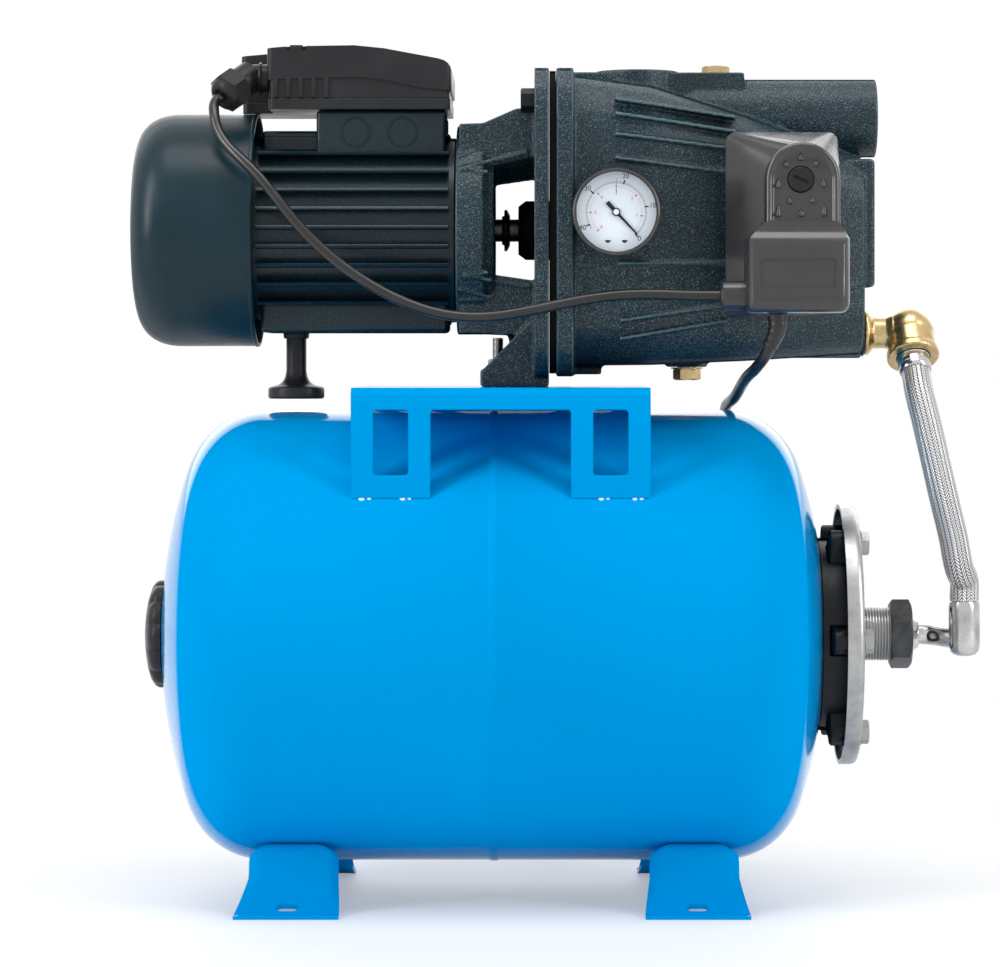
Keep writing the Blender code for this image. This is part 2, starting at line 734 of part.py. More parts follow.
def counter_flange():
    back, front = FLANGE_BACK_X, FLANGE_FRONT_X
    rim = FLANGE_RADIUS
    nipple_end = front + NIPPLE_LENGTH
    profile = [
        (back, NIPPLE_BORE_RADIUS),
        (back, rim - 0.0045),
        (back - 0.0012, rim - FLANGE_SHEET),
        (front - FLANGE_RIM_DEPTH, rim - FLANGE_SHEET),
        (front - FLANGE_RIM_DEPTH, rim),
        (front - 0.0035, rim),
        (front - 0.0010, rim - 0.0012),
        (front, rim - 0.0040),
        (front, NIPPLE_RADIUS),
        (nipple_end, NIPPLE_RADIUS),
        (nipple_end, NIPPLE_BORE_RADIUS),
    ]
    flange = place("counter_flange", turned(profile, 34, ring=True), zinc(), (0, 0, TANK_AXIS_Z))
    for index in range(BOLT_COUNT):
        y, z = around(BOLT_CIRCLE_RADIUS, 360 * index / BOLT_COUNT)
        hole = rod(back - 0.005, front + 0.005, BOLT_SHANK_RADIUS + 2 * GAP, 8)
        cut(flange, hole, (0, y, TANK_AXIS_Z + z))


def tank_bolts():
    head = FLANGE_FRONT_X + GAP
    steps = [
        (NECK_RING_FRONT_X - FLANGE_RIM_DEPTH, BOLT_SHANK_RADIUS, 0),
        (head, BOLT_SHANK_RADIUS, 0),
        (head, BOLT_HEAD_FLATS / 2, 6),
        (head + BOLT_HEAD_HEIGHT, BOLT_HEAD_FLATS / 2, 6),
    ]
    for index in range(BOLT_COUNT):
        y, z = around(BOLT_CIRCLE_RADIUS, 360 * index / BOLT_COUNT)
        place(f"tank_bolt_{index + 1}", rings(steps), zinc(), (0, y, TANK_AXIS_Z + z))


def air_valve():
    """Valve body in the left dome, its pin and its cap."""
    apex = TANK_LEFT_X
    body = [
        (apex + 0.012, 0.0022),
        (apex + 0.012, VALVE_HOLE_RADIUS - GAP),
        (apex - GAP, VALVE_HOLE_RADIUS - GAP),
        (apex - GAP, 0.0085),
        (apex - 0.0035, 0.0085),
        (apex - 0.0035, 0.0040),
        (apex - 0.0070, 0.0040),
        (apex - 0.0070, 0.0022),
    ]
    place("air_valve_body", turned(body, 10, ring=True), brass(), (0, 0, TANK_AXIS_Z))
    pin = [
        (0.0160, 0),
        (0.0160, 0.0034),
        (0.0123, 0.0034),
        (0.0123, VALVE_PIN_RADIUS),
        (-0.0066, VALVE_PIN_RADIUS),
        (-0.0066, 0),
    ]
    place("air_valve_pin", turned(pin, 8), steel(), (apex, 0, TANK_AXIS_Z))
    rim_x = apex + crown_offset(VALVE_CAP_RADIUS) - GAP - 0.0004
    top = apex - VALVE_CAP_DEPTH
    cap = [
        (top, 0),
        (top + 0.0004, 0.012),
        (top + 0.0022, 0.024),
        (top + 0.0055, VALVE_CAP_RADIUS - 0.0020),
        (rim_x, VALVE_CAP_RADIUS),
        (rim_x, VALVE_CAP_RADIUS - 0.0030),
        (top + 0.0065, VALVE_CAP_RADIUS - 0.0045),
        (top + 0.0034, 0.014),
        (apex - 0.0008, 0.0115),
        (apex - 0.0008, 0.0085 + GAP),
        (top + 0.0030, 0.0085 + GAP),
        (top + 0.0030, 0),
    ]
    place("air_valve_cap", turned(cap, 20), black_plastic(), (0, 0, TANK_AXIS_Z))


# Hose and its fittings
def union_nut():
    start = FLANGE_FRONT_X + UNION_NUT_OFFSET
    end = start + UNION_NUT_LENGTH
    flats = UNION_NUT_FLATS / 2
    inside = NIPPLE_RADIUS + 1.5 * GAP
    lip = end - UNION_NUT_LIP
    nose = end + 0.0042
    steps = [
        (start, inside, 0),
        (start, flats - 0.0006, 0),
        (start + 0.0012, flats, 6),
        (end - 0.0012, flats, 6),
        (end, flats - 0.0006, 0),
        (end, 0.0125, 0),
        (nose, 0.0088, 0),
        (nose, TAIL_RADIUS + GAP, 0),
        (lip, TAIL_RADIUS + GAP, 0),
        (lip, inside, 0),
    ]
    place("union_nut", rings(steps, closed=True, count=24), zinc(), (0, 0, TANK_AXIS_Z))


def sleeve_middle():
    """Where the bent tail enters the lower hose sleeve, and the direction it comes in."""
    centre = Vector(SLEEVE_BOTTOM) + UP * 0.0105
    return centre, Vector((0.88, -0.46, -0.07)).normalized()


def hose_tail():
    start = FLANGE_FRONT_X + NIPPLE_LENGTH + GAP
    collar_end = FLANGE_FRONT_X + UNION_NUT_OFFSET + UNION_NUT_LENGTH - UNION_NUT_LIP - GAP
    nose = FLANGE_FRONT_X + UNION_NUT_OFFSET + UNION_NUT_LENGTH + 0.0055
    centre, inward = sleeve_middle()
    end = centre - inward * 0.001
    before = centre - inward * 0.012
    bent = smooth_route([(nose, 0, TANK_AXIS_Z), (nose + 0.006, -0.0008, TANK_AXIS_Z - 0.0003), before, end], 0.0045)
    points = [(start, 0, TANK_AXIS_Z), (collar_end, 0, TANK_AXIS_Z), (collar_end, 0, TANK_AXIS_Z), *bent]
    collar = NIPPLE_RADIUS - 0.0015
    sections = []
    for point, radius in zip(points[:3], (collar, collar, TAIL_RADIUS)):
        sections.append([Vector(p) + Vector((0, 0, TANK_AXIS_Z)) for p in ring_of_points(point[0], radius, 0, 16)])
    head = lofted(sections + [[Vector(p) + Vector((nose - 0.004, 0, TANK_AXIS_Z)) for p in ring_of_points(0, TAIL_RADIUS, 0, 16)]])
    tail = place("hose_tail", swept([(nose - 0.0055, 0, TANK_AXIS_Z), *bent], [TAIL_RADIUS - 0.0001] * (len(bent) + 1), 16), steel())
    join(tail, head)


def hose_sleeve():
    centre, inward = sleeve_middle()
    foot = Vector(SLEEVE_BOTTOM)
    profile = [
        (0, 0),
        (0, SLEEVE_RADIUS - 0.0030),
        (0.0014, SLEEVE_RADIUS - 0.0010),
        (0.0040, SLEEVE_RADIUS),
        (SLEEVE_LENGTH, SLEEVE_RADIUS),
        (SLEEVE_LENGTH, 0),
    ]
    sleeve = place("hose_sleeve", turned(profile, 16, UP), steel(), foot)
    cut(sleeve, rod(0, 0.03, TAIL_RADIUS + 2 * GAP, 14, -inward), centre)


def brass_elbow():
    centre = Vector((ELBOW_CENTRE_X, 0, OUTLET_Z))
    collar = OUTLET_FACE_X + 0.0020
    stub = [
        (OUTLET_FACE_X - 0.0140, 0),
        (OUTLET_FACE_X - 0.0140, 0.0100),
        (collar, 0.0100),
        (collar, 0.0138),
        (collar + 0.0020, 0.0138),
        (collar + 0.0040, 0.0120),
        (collar + 0.0050, 0.0095),
        (ELBOW_CENTRE_X - 0.0150, 0.0095),
        (ELBOW_CENTRE_X - 0.0110, 0.0118),
        (ELBOW_CENTRE_X, 0.0118),
        (ELBOW_CENTRE_X, 0),
    ]
    elbow = place("brass_elbow", turned(stub, 14), brass(), (0, 0, OUTLET_Z))
    ball = bmesh.new()
    bmesh.ops.create_uvsphere(ball, u_segments=14, v_segments=8, radius=ELBOW_RADIUS)
    join(elbow, ball, centre)
    mouth = [
        (0, 0),
        (0, ELBOW_RADIUS - 0.0005),
        (ELBOW_MOUTH_LENGTH - 0.0050, ELBOW_RADIUS - 0.0005),
        (ELBOW_MOUTH_LENGTH - 0.0040, ELBOW_RADIUS + 0.0008),
        (ELBOW_MOUTH_LENGTH, ELBOW_RADIUS + 0.0008),
        (ELBOW_MOUTH_LENGTH, 0),
    ]
    join(elbow, turned(mouth, 16, ELBOW_AXIS), centre)
    cut(elbow, rod(OUTLET_FACE_X - 0.02, ELBOW_CENTRE_X + 0.004, 0.0065, 12), (0, 0, OUTLET_Z))
    cut(elbow, rod(-0.0025, HOSE_NUT_START + 0.002, 0.0072, 12, ELBOW_AXIS), centre)
    cut(elbow, rod(HOSE_NUT_START - GAP, 0.04, HOSE_NUT_RADIUS + 2 * GAP, 16, ELBOW_AXIS), centre)
    gasket = tube(OUTLET_FACE_X + GAP, collar - GAP, 0.0146, 0.0106, 16)
    place("elbow_gasket", gasket, rubber(), (0, 0, OUTLET_Z))
    nut = [
        (HOSE_NUT_START, 0),
        (HOSE_NUT_START, HOSE_NUT_RADIUS),
        (HOSE_NUT_END - 0.002, HOSE_NUT_RADIUS),
        (HOSE_NUT_END, HOSE_NUT_RADIUS - 0.0008),
        (HOSE_NUT_END, 0),
    ]
    place("hose_nut", turned(nut, 16, ELBOW_AXIS), steel(), centre)


def hose_ends():
    top = Vector((ELBOW_CENTRE_X, 0, OUTLET_Z)) + ELBOW_AXIS * (HOSE_NUT_END + GAP)
    return top, Vector(SLEEVE_BOTTOM) + UP * (SLEEVE_LENGTH + GAP)


def hose_route():
    """The hose leaves the elbow towards the front and down, then comes back over the lower sleeve."""
    top, bottom = hose_ends()
    points = [top + ELBOW_AXIS * 0.004, top + ELBOW_AXIS * 0.012]
    for share, sideways, forward in HOSE_BOW:
        points.append(top.lerp(bottom, share) + ALONG * sideways + FRONT * forward)
    points += [bottom + UP * 0.012, bottom + UP * 0.004]
    return points


def braided_hose():
    top, bottom = hose_ends()
    cord("braided_hose", [top, *smooth_route(hose_route(), 0.011), bottom], HOSE_RADIUS, steel(), 3)


# Pump
def flange_outline(inset=0.0):
    """Outline (y, z) of the cast flanges: a rectangle with broad slanting corners."""
    half = FLANGE_HALF_DEPTH - inset
    top = PUMP_Z + FLANGE_TOP - inset
    bottom = PUMP_Z - FLANGE_BOTTOM + inset
    corner = FLANGE_CORNER
    soft = corner * 0.25
    outline = []
    for side, end, first in ((1, top, 1), (-1, top, 0), (-1, bottom, 1), (1, bottom, 0)):
        inner = math.copysign(corner, end - PUMP_Z)
        points = [
            (side * half, end - inner - inner * 0.25),
            (side * (half - soft * 0.5), end - inner * 0.85),
            (side * (half - corner * 0.85), end - inner * 0.2),
            (side * (half - corner - soft), end),
        ]
        outline += points if first else points[::-1]
    return outline


def casting_section(x, half_y, low, high, corner):
    return [(x, y, z) for y, z in rounded((-half_y, low), (half_y, high), corner)]


def housing_sections(shrink=0.0):
    """Sections along the cast body: it falls away and narrows towards the suction end."""
    stretch = HOUSING_END_X - HOUSING_LEFT_X
    shapes = (
        (HOUSING_LEFT_X + 0.003, 0.079, 0.0845, 0.0950, 0.036),
        (HOUSING_LEFT_X + 0.31 * stretch, 0.076, 0.0840, 0.0880, 0.038),
        (HOUSING_LEFT_X + 0.62 * stretch, 0.063, 0.0815, 0.0700, 0.036),
        (HOUSING_END_X, 0.043, 0.0770, 0.0440, 0.028),
    )
    sections = []
    for index, (x, half_y, below, above, corner) in enumerate(shapes):
        if shrink and index == len(shapes) - 1:
            x -= 2 * shrink
        low, high = PUMP_Z - below + shrink, PUMP_Z + above - shrink
        sections.append(casting_section(x, half_y - shrink, low, high, corner - shrink))
    return sections


def body_half_depth(x):
    """Half the housing's depth at a place along it."""
    shapes = [(section[0][0], max(point[1] for point in section)) for section in housing_sections()]
    for (start, first), (end, second) in zip(shapes, shapes[1:]):
        if x <= end:
            return first + (second - first) * (x - start) / (end - start)
    return shapes[-1][1]


def rib(start, end, stand_out, width=0.0022):
    """A raised rib on the front, from (x, height over the axis) to (x, height), standing out of the wall."""
    sections = []
    for (x, rise), out in zip((start, end), stand_out):
        deep = -body_half_depth(x) - out
        z = PUMP_Z + rise
        sections.append([(x, -0.03, z - width), (x, deep, z - width / 2), (x, deep, z + width / 2), (x, -0.03, z + width)])
    return lofted(sections)


def pump_housing():
    housing = place("pump_housing", lofted(housing_sections()), cast_paint(), sharp_degrees=50)
    flange_end = HOUSING_LEFT_X + HOUSING_FLANGE_THICKNESS
    join(housing, prism(flange_outline(), "X", HOUSING_LEFT_X, flange_end))
    suction_z = PUMP_Z + SUCTION_HEIGHT
    face = SUCTION_FACE_X
    suction = [(0.085, 0), (0.085, 0.020), (0.100, SUCTION_BOSS_RADIUS), (face - 0.003, SUCTION_BOSS_RADIUS)]
    suction += [(face, SUCTION_BOSS_RADIUS - 0.0025), (face, 0)]
    join(housing, turned(suction, 22), (0, 0, suction_z))
    pad_top = PUMP_Z + DISCHARGE_FACE_HEIGHT
    join(housing, rod(PUMP_Z + 0.06, pad_top, DISCHARGE_BOSS_RADIUS, 22, UP), (DISCHARGE_X, 0, 0))
    pad_root = PUMP_Z + 0.045
    first_pad = [(HOUSING_LEFT_X + 0.002, pad_root), (HOUSING_LEFT_X + 0.002, pad_top - 0.0012)]
    first_pad += [(DISCHARGE_X + 0.006, pad_top - 0.0012), (DISCHARGE_X + 0.020, pad_top - 0.0042)]
    first_pad += [(PLUG_X + 0.016, pad_top - 0.0048), (PLUG_X + 0.018, pad_top - 0.0070), (PLUG_X + 0.018, pad_root)]
    join(housing, prism(first_pad, "Y", -0.018, 0.018))
    join(housing, rod(0.150, OUTLET_FACE_X, OUTLET_BOSS_RADIUS, 18), (0, 0, OUTLET_Z))
    join(housing, box((HOUSING_END_X - 0.012, -0.0365, PUMP_Z - 0.036), (HOUSING_END_X + 0.0067, -0.012, PUMP_Z + 0.043), 0.002))
    low_lug = PUMP_Z - FLANGE_BOTTOM + 0.0012
    join(housing, box((flange_end - 0.002, -0.022, low_lug), (flange_end + 0.0175, 0.022, PUMP_Z - 0.07)))
    join(housing, rod(0.045, 0.0786, 0.0120, 14, FRONT), (GAUGE_X, 0, PUMP_Z + GAUGE_HEIGHT))
    join(housing, rod(0.040, -SWITCH_BOSS_Y, 0.0130, 14, FRONT), (sum(SWITCH_X) / 2, 0, PUMP_Z))
    join(housing, rod(-DRAIN_DROP, -0.07, 0.0125, 14, UP), (DRAIN_X, 0, PUMP_Z))
    for start, end, out in (
        ((0.049, 0.079), (0.122, 0.066), (-0.0012, -0.0060)),
        ((0.049, 0.069), (0.122, 0.0585), (0.0012, -0.0012)),
        ((0.049, 0.0565), (0.122, 0.0485), (0.0018, 0.0012)),
        ((0.060, 0.0410), (0.122, 0.0350), (0.0018, 0.0012)),
        ((0.051, -0.0225), (0.117, -0.0220), (0.0016, 0.0010)),
        ((0.052, -0.0570), (0.117, -0.0475), (0.0010, 0.0010)),
        ((0.052, -0.0680), (0.117, -0.0570), (-0.0030, -0.0010)),
    ):
        join(housing, rib(start, end, out))
    cut(housing, lofted(housing_sections(HOUSING_WALL)[1:]))
    cut(housing, rod(HOUSING_LEFT_X - 0.01, HOUSING_LEFT_X + 0.0765, WET_BORE_RADIUS, 30), (0, 0, PUMP_Z))
    cut(housing, rod(0.100, face + 0.01, PORT_RADIUS, 18), (0, 0, suction_z))
    cut(housing, rod(PUMP_Z + 0.05, pad_top + 0.01, PORT_RADIUS, 18, UP), (DISCHARGE_X, 0, 0))
    cut(housing, rod(OUTLET_FACE_X - 0.035, OUTLET_FACE_X + 0.01, 0.0106, 16), (0, 0, OUTLET_Z))
    cut(housing, rod(PUMP_Z + 0.075, pad_top + 0.01, 0.0064, 10, UP), (PLUG_X, 0, 0))
    cut(housing, rod(0.060, 0.10, 0.0070, 10, FRONT), (GAUGE_X, 0, PUMP_Z + GAUGE_HEIGHT))
    cut(housing, rod(0.050, 0.10, 0.0066, 10, FRONT), (sum(SWITCH_X) / 2, 0, PUMP_Z))
    cut(housing, rod(-0.095, -0.066, 0.0064, 10, UP), (DRAIN_X, 0, PUMP_Z))


def pump_plugs():
    """Priming plug on top and drain plug underneath, hexagon heads with plain shanks."""
    top = PUMP_Z + DISCHARGE_FACE_HEIGHT - 0.0046
    shank = 0.0062 - GAP
    steps = [
        (-0.0090, shank, 0),
        (GAP, shank, 0),
        (GAP, 0.0100, 0),
        (0.0012, 0.0100, 0),
        (0.0012, PLUG_FLATS / 2, 6),
        (0.0072, PLUG_FLATS / 2, 6),
        (0.0082, PLUG_FLATS / 2 - 0.0008, 0),
    ]
    place("priming_plug", rings(steps, UP), brass(), (PLUG_X, 0, top))
    under = PUMP_Z - DRAIN_DROP
    place("drain_plug", rings(steps, -UP), brass(), (DRAIN_X, 0, under))


def seal_plate():
    outline = flange_outline(SEAL_PLATE_INSET)
    plate = place("seal_plate", prism(outline, "X", SEAL_LEFT_X, SEAL_RIGHT_X), rubber())
    plate.data.materials[0] = finish("dark seal plate", (0.008, 0.009, 0.010), 0.6)
    left = SEAL_RIGHT_X - SEAL_PLATE_THICKNESS - SEAL_BOSS_LENGTH
    boss = [(left, 0), (left, 0.0150), (left + 0.0045, SEAL_BOSS_RADIUS), (SEAL_RIGHT_X - 0.001, SEAL_BOSS_RADIUS), (SEAL_RIGHT_X - 0.001, 0)]
    join(plate, turned(boss, 22), (0, 0, PUMP_Z))
    cut(plate, rod(left - 0.01, SEAL_RIGHT_X + 0.01, SHAFT_RADIUS + RUNNING_GAP, 16), (0, 0, PUMP_Z))
    cut(plate, rod(left + 0.0050, SEAL_RIGHT_X + 0.01, 0.0132, 16), (0, 0, PUMP_Z))
    seal = tube(left + 0.0055, SEAL_RIGHT_X + 0.0006, 0.0126, SHAFT_RADIUS + 2 * GAP, 16)
    place("shaft_seal", seal, finish("seal carbon", (0.03, 0.03, 0.03), 0.3), (0, 0, PUMP_Z))


def impeller_places():
    back = SEAL_RIGHT_X + RUNNING_GAP
    return back, back + 0.0038, back + 0.0170


def impeller():
    back, shroud, front = impeller_places()
    hub = 0.0120
    disc = [
        (back, SHAFT_RADIUS - 0.001 + GAP),
        (back, hub),
        (shroud, hub + 0.004),
        (shroud, IMPELLER_RADIUS),
        (shroud + 0.0024, IMPELLER_RADIUS),
        (shroud + 0.0030, hub + 0.006),
        (front - 0.0030, hub),
        (front, 0.0090),
        (front, SHAFT_RADIUS - 0.001 + GAP),
    ]
    wheel = place("impeller", turned(disc, 18, ring=True), brass(), (0, 0, PUMP_Z))
    join(wheel, tube(front - 0.0022, front, IMPELLER_RADIUS, IMPELLER_EYE_RADIUS, 18), (0, 0, PUMP_Z))
    for index in range(BLADE_COUNT):
        outline = []
        for side in (1, -1):
            arc = []
            for step in range(4):
                radius = 0.0150 + (IMPELLER_RADIUS - 0.0020 - 0.0150) * step / 3
                angle = 2 * math.pi * index / BLADE_COUNT - 1.15 * step / 3 + side * 0.0009 / radius
                arc.append((radius * math.cos(angle), radius * math.sin(angle)))
            outline += arc if side == 1 else arc[::-1]
        join(wheel, prism(outline, "X", shroud + 0.0012, front - 0.0010), (0, 0, PUMP_Z))


def diffuser():
    back, _, front = impeller_places()
    outer = WET_BORE_RADIUS - 4 * GAP
    inner = IMPELLER_RADIUS + 2 * RUNNING_GAP
    wall = front + RUNNING_GAP
    profile = [
        (back - RUNNING_GAP + GAP, inner),
        (back - RUNNING_GAP + GAP, outer),
        (wall + 0.006, outer),
        (wall + 0.006, 0.0200),
        (wall + 0.014, 0.0195),
        (wall + 0.014, 0.0140),
        (wall, 0.0140),
        (wall, inner),
    ]
    ring = place("diffuser", turned(profile, 20, ring=True), wet_plastic(), (0, 0, PUMP_Z))
    for index in range(5):
        slot = box((wall - 0.010, inner - 0.002, -0.010), (wall + 0.010, outer + 0.002, 0.010))
        turn = Matrix.Rotation(math.radians(72 * index + 18), 3, "X")
        bmesh.ops.rotate(slot, verts=slot.verts, cent=(0, 0, 0), matrix=turn)
        cut(ring, slot, (0, 0, PUMP_Z))


def ejector():
    neck = impeller_places()[2] + RUNNING_GAP + 0.006 + 2 * GAP
    venturi = [
        (neck, 0.0136),
        (neck + 0.0085, 0.0136),
        (neck + 0.0090, 0.0155),
        (neck + 0.0130, 0.0155),
        (neck + 0.0160, 0.0125),
        (neck + VENTURI_LENGTH, 0.0110),
        (neck + VENTURI_LENGTH, 0.0080),
        (neck + VENTURI_LENGTH * 0.8, 0.0050),
        (neck, 0.0105),
    ]
    place("ejector_venturi", turned(venturi, 12, ring=True), wet_plastic(), (0, 0, PUMP_Z))
    seat = HOUSING_END_X - 2 * HOUSING_WALL - GAP
    nozzle = [
        (seat, 0.0060),
        (seat, 0.0200),
        (seat - 0.005, 0.0200),
        (seat - 0.007, 0.0130),
        (seat - NOZZLE_LENGTH * 0.6, 0.0120),
        (seat - NOZZLE_LENGTH, 0.0050),
        (seat - NOZZLE_LENGTH, 0.0030),
        (seat - NOZZLE_LENGTH * 0.5, 0.0060),
    ]
    place("ejector_nozzle", turned(nozzle, 12, ring=True), brass(), (0, 0, PUMP_Z))


def pump_bolt_places():
    """(y, height over the axis) of the bolts that hold housing and bracket together."""
    return ((-0.048, 0.0780), (0.048, 0.0780), (-0.072, -0.0530), (0.072, -0.0530))


def lantern_bracket():
    """Cast bracket: a ring on the motor, two arms, the pump flange and the foot on the cradle."""
    ring = [
        (RING_START_X, RING_RADIUS - 0.012),
        (RING_START_X, RING_RADIUS),
        (RING_START_X + 0.0165, RING_RADIUS),
        (RING_START_X + 0.0200, RING_RADIUS - 0.0040),
        (RING_END_X, RING_RADIUS - 0.0060),
        (RING_END_X, SHAFT_RADIUS + RUNNING_GAP),
        (RING_START_X + 0.0150, SHAFT_RADIUS + RUNNING_GAP),
        (RING_START_X + 0.0150, BEARING_RADIUS + GAP),
        (RING_START_X + 0.0040, BEARING_RADIUS + GAP),
        (RING_START_X + 0.0040, BEARING_RADIUS + 0.005),
        (RING_START_X + 0.0150, BEARING_RADIUS + 0.007),
        (RING_START_X + 0.0150, RING_RADIUS - 0.012),
    ]
    bracket = place("lantern_bracket", turned(ring, 28, ring=True), cast_paint(), (0, 0, PUMP_Z))
    plate_start = LANTERN_FACE_X - FLANGE_PLATE_THICKNESS
    join(bracket, prism(flange_outline(), "X", plate_start, LANTERN_FACE_X))
    overlap = plate_start + 0.002
    ring_side = RING_START_X + 0.002
    upper = [
        (ring_side, PUMP_Z + 0.0375),
        (overlap, PUMP_Z + 0.0510),
        (overlap, PUMP_Z + 0.0735),
        (plate_start - 0.0110, PUMP_Z + 0.0735),
        (RING_START_X + 0.0166, PUMP_Z + 0.0645),
        (ring_side, PUMP_Z + 0.0640),
    ]
    lower = [
        (ring_side, PUMP_Z - 0.0270),
        (RING_END_X - 0.001, PUMP_Z - 0.0284),
        (overlap, PUMP_Z - 0.0325),
        (overlap, PUMP_Z - 0.0660),
        (ring_side, PUMP_Z - 0.0640),
    ]
    join(bracket, prism(upper, "Y", -ARM_HALF_DEPTH, ARM_HALF_DEPTH))
    join(bracket, prism(lower, "Y", -ARM_HALF_DEPTH, ARM_HALF_DEPTH))
    foot_bottom = CRADLE_TOP_Z + GAP
    foot_top = foot_bottom + FOOT_PLATE_THICKNESS
    left = LANTERN_FACE_X - FOOT_PLATE_LENGTH
    foot = [(left, foot_bottom), (LANTERN_FACE_X, foot_bottom), (LANTERN_FACE_X, foot_top), (left, foot_top)]
    join(bracket, prism(foot, "Y", -FOOT_PLATE_HALF_DEPTH, FOOT_PLATE_HALF_DEPTH))
    web = [(-FOOT_PLATE_HALF_DEPTH, foot_top - 0.002), (FOOT_PLATE_HALF_DEPTH, foot_top - 0.002)]
    web += [(FOOT_PLATE_HALF_DEPTH, PUMP_Z - 0.06), (-FOOT_PLATE_HALF_DEPTH, PUMP_Z - 0.06)]
    join(bracket, prism(web, "X", plate_start + 0.0006, LANTERN_FACE_X - 0.0006))
    gusset = [(plate_start - 0.0215, foot_top - 0.001), (overlap, PUMP_Z - 0.0555), (overlap, foot_top - 0.001)]
    for side in (-1, 1):
        first = side * (FOOT_PLATE_HALF_DEPTH - 0.0006)
        join(bracket, prism(gusset, "Y", min(first, first - side * 0.008), max(first, first - side * 0.008)))
    join(bracket, prism([(overlap, PUMP_Z - 0.06), (overlap, foot_top - 0.001), (-0.012, foot_top - 0.001), (-0.018, PUMP_Z - 0.06)], "Y", -0.008, 0.008))
    cut(bracket, rod(plate_start - 0.001, LANTERN_FACE_X + 0.01, SEAL_BOSS_RADIUS + 0.0006, 22), (0, 0, PUMP_Z))
    head = [(-0.0085, BOLT_HEAD_FLATS / 2, 6), (0.0010, BOLT_HEAD_FLATS / 2, 6)]
    for y, rise in pump_bolt_places():
        join(bracket, rings(head), (plate_start, y, PUMP_Z + rise))
    for side in (-1, 1):
        cut(bracket, rod(-0.02, 0.02, STUD_RADIUS + 2 * GAP, 10, UP), (STUD_X, side * STUD_SPACING / 2, foot_bottom))


def foot_studs():
    """Stud with its nut, standing in the cradle's hole."""
    top = CRADLE_TOP_Z + GAP + FOOT_PLATE_THICKNESS + GAP
    steps = [
        (CRADLE_TOP_Z - CRADLE_SHEET - 0.0045 - top, 0.0050, 6),
        (CRADLE_TOP_Z - CRADLE_SHEET - GAP - top, 0.0050, 6),
        (CRADLE_TOP_Z - CRADLE_SHEET - GAP - top, STUD_RADIUS, 0),
        (0, STUD_RADIUS, 0),
        (0, 0.0050, 6),
        (0.0052, 0.0050, 6),
        (0.0052, STUD_RADIUS, 0),
        (0.0190, STUD_RADIUS, 0),
    ]
    for name, side in (("foot_stud_front", -1), ("foot_stud_rear", 1)):
        place(name, rings(steps, UP), zinc(), (STUD_X, side * STUD_SPACING / 2, top))


# Motor
def motor_outline():
    """The finned section (y, z) round the axis: a round core with level fins on both sides."""
    side = []
    for row in range(FIN_ROWS, -FIN_ROWS - 1, -1):
        for edge in (1, -1):
            z = row * FIN_PITCH + edge * FIN_THICKNESS / 2
            core = math.sqrt(max(MOTOR_CORE_RADIUS**2 - z * z, 0))
            outer = math.sqrt(max(MOTOR_RADIUS**2 - z * z, 0))
            pair = [(core, z), (outer, z)]
            if row == FIN_ROWS and edge == 1 or row == -FIN_ROWS and edge == -1:
                pair = [(outer, z)]
            side += pair if edge == 1 else pair[::-1]
    return side + [(-y, z) for y, z in reversed(side)]


def motor_housing():
    right = RING_START_X - GAP
    housing = place("motor_housing", prism(motor_outline(), "X", MOTOR_LEFT_X + 0.006, right - 0.004), cast_paint(), (0, 0, PUMP_Z))
    join(housing, rod(MOTOR_LEFT_X, right, MOTOR_CORE_RADIUS + 0.0015, 26), (0, 0, PUMP_Z))
    base = box((MOTOR_LEFT_X + 0.007, -0.036, -MOTOR_RADIUS), (right - 0.005, 0.036, -MOTOR_CORE_RADIUS + 0.012), 0.003)
    join(housing, base, (0, 0, PUMP_Z))
    low = (PEDESTAL_START_X, -PEDESTAL_HALF_DEPTH, 0.045)
    high = (PEDESTAL_END_X, PEDESTAL_HALF_DEPTH, PEDESTAL_HEIGHT)
    join(housing, box(low, high, 0.002), (0, 0, PUMP_Z))
    join(housing, box((MOTOR_LEFT_X + 0.008, -0.030, 0.045), (PEDESTAL_START_X + 0.004, 0.030, 0.0605), 0.002), (0, 0, PUMP_Z))
    cut(housing, rod(MOTOR_LEFT_X - 0.01, right + 0.01, MOTOR_BORE_RADIUS, 22), (0, 0, PUMP_Z))


def motor_middle():
    return (MOTOR_LEFT_X + RING_START_X) / 2 - 0.004


def stator():
    middle = motor_middle()
    half = STATOR_LENGTH / 2
    outer = MOTOR_BORE_RADIUS - 3 * GAP
    bore = ROTOR_RADIUS + AIR_GAP
    profile = [
        (middle - half - 0.016, bore + 0.005),
        (middle - half - 0.016, outer - 0.006),
        (middle - half, outer - 0.006),
        (middle - half, outer),
        (middle + half, outer),
        (middle + half, outer - 0.006),
        (middle + half + 0.016, outer - 0.006),
        (middle + half + 0.016, bore + 0.005),
        (middle + half, bore + 0.005),
        (middle + half, bore),
        (middle - half, bore),
        (middle - half, bore + 0.005),
    ]
    place("stator", turned(profile, 16, ring=True), copper(), (0, 0, PUMP_Z))


def rear_bearing_x():
    return MOTOR_LEFT_X - GAP - 0.0005


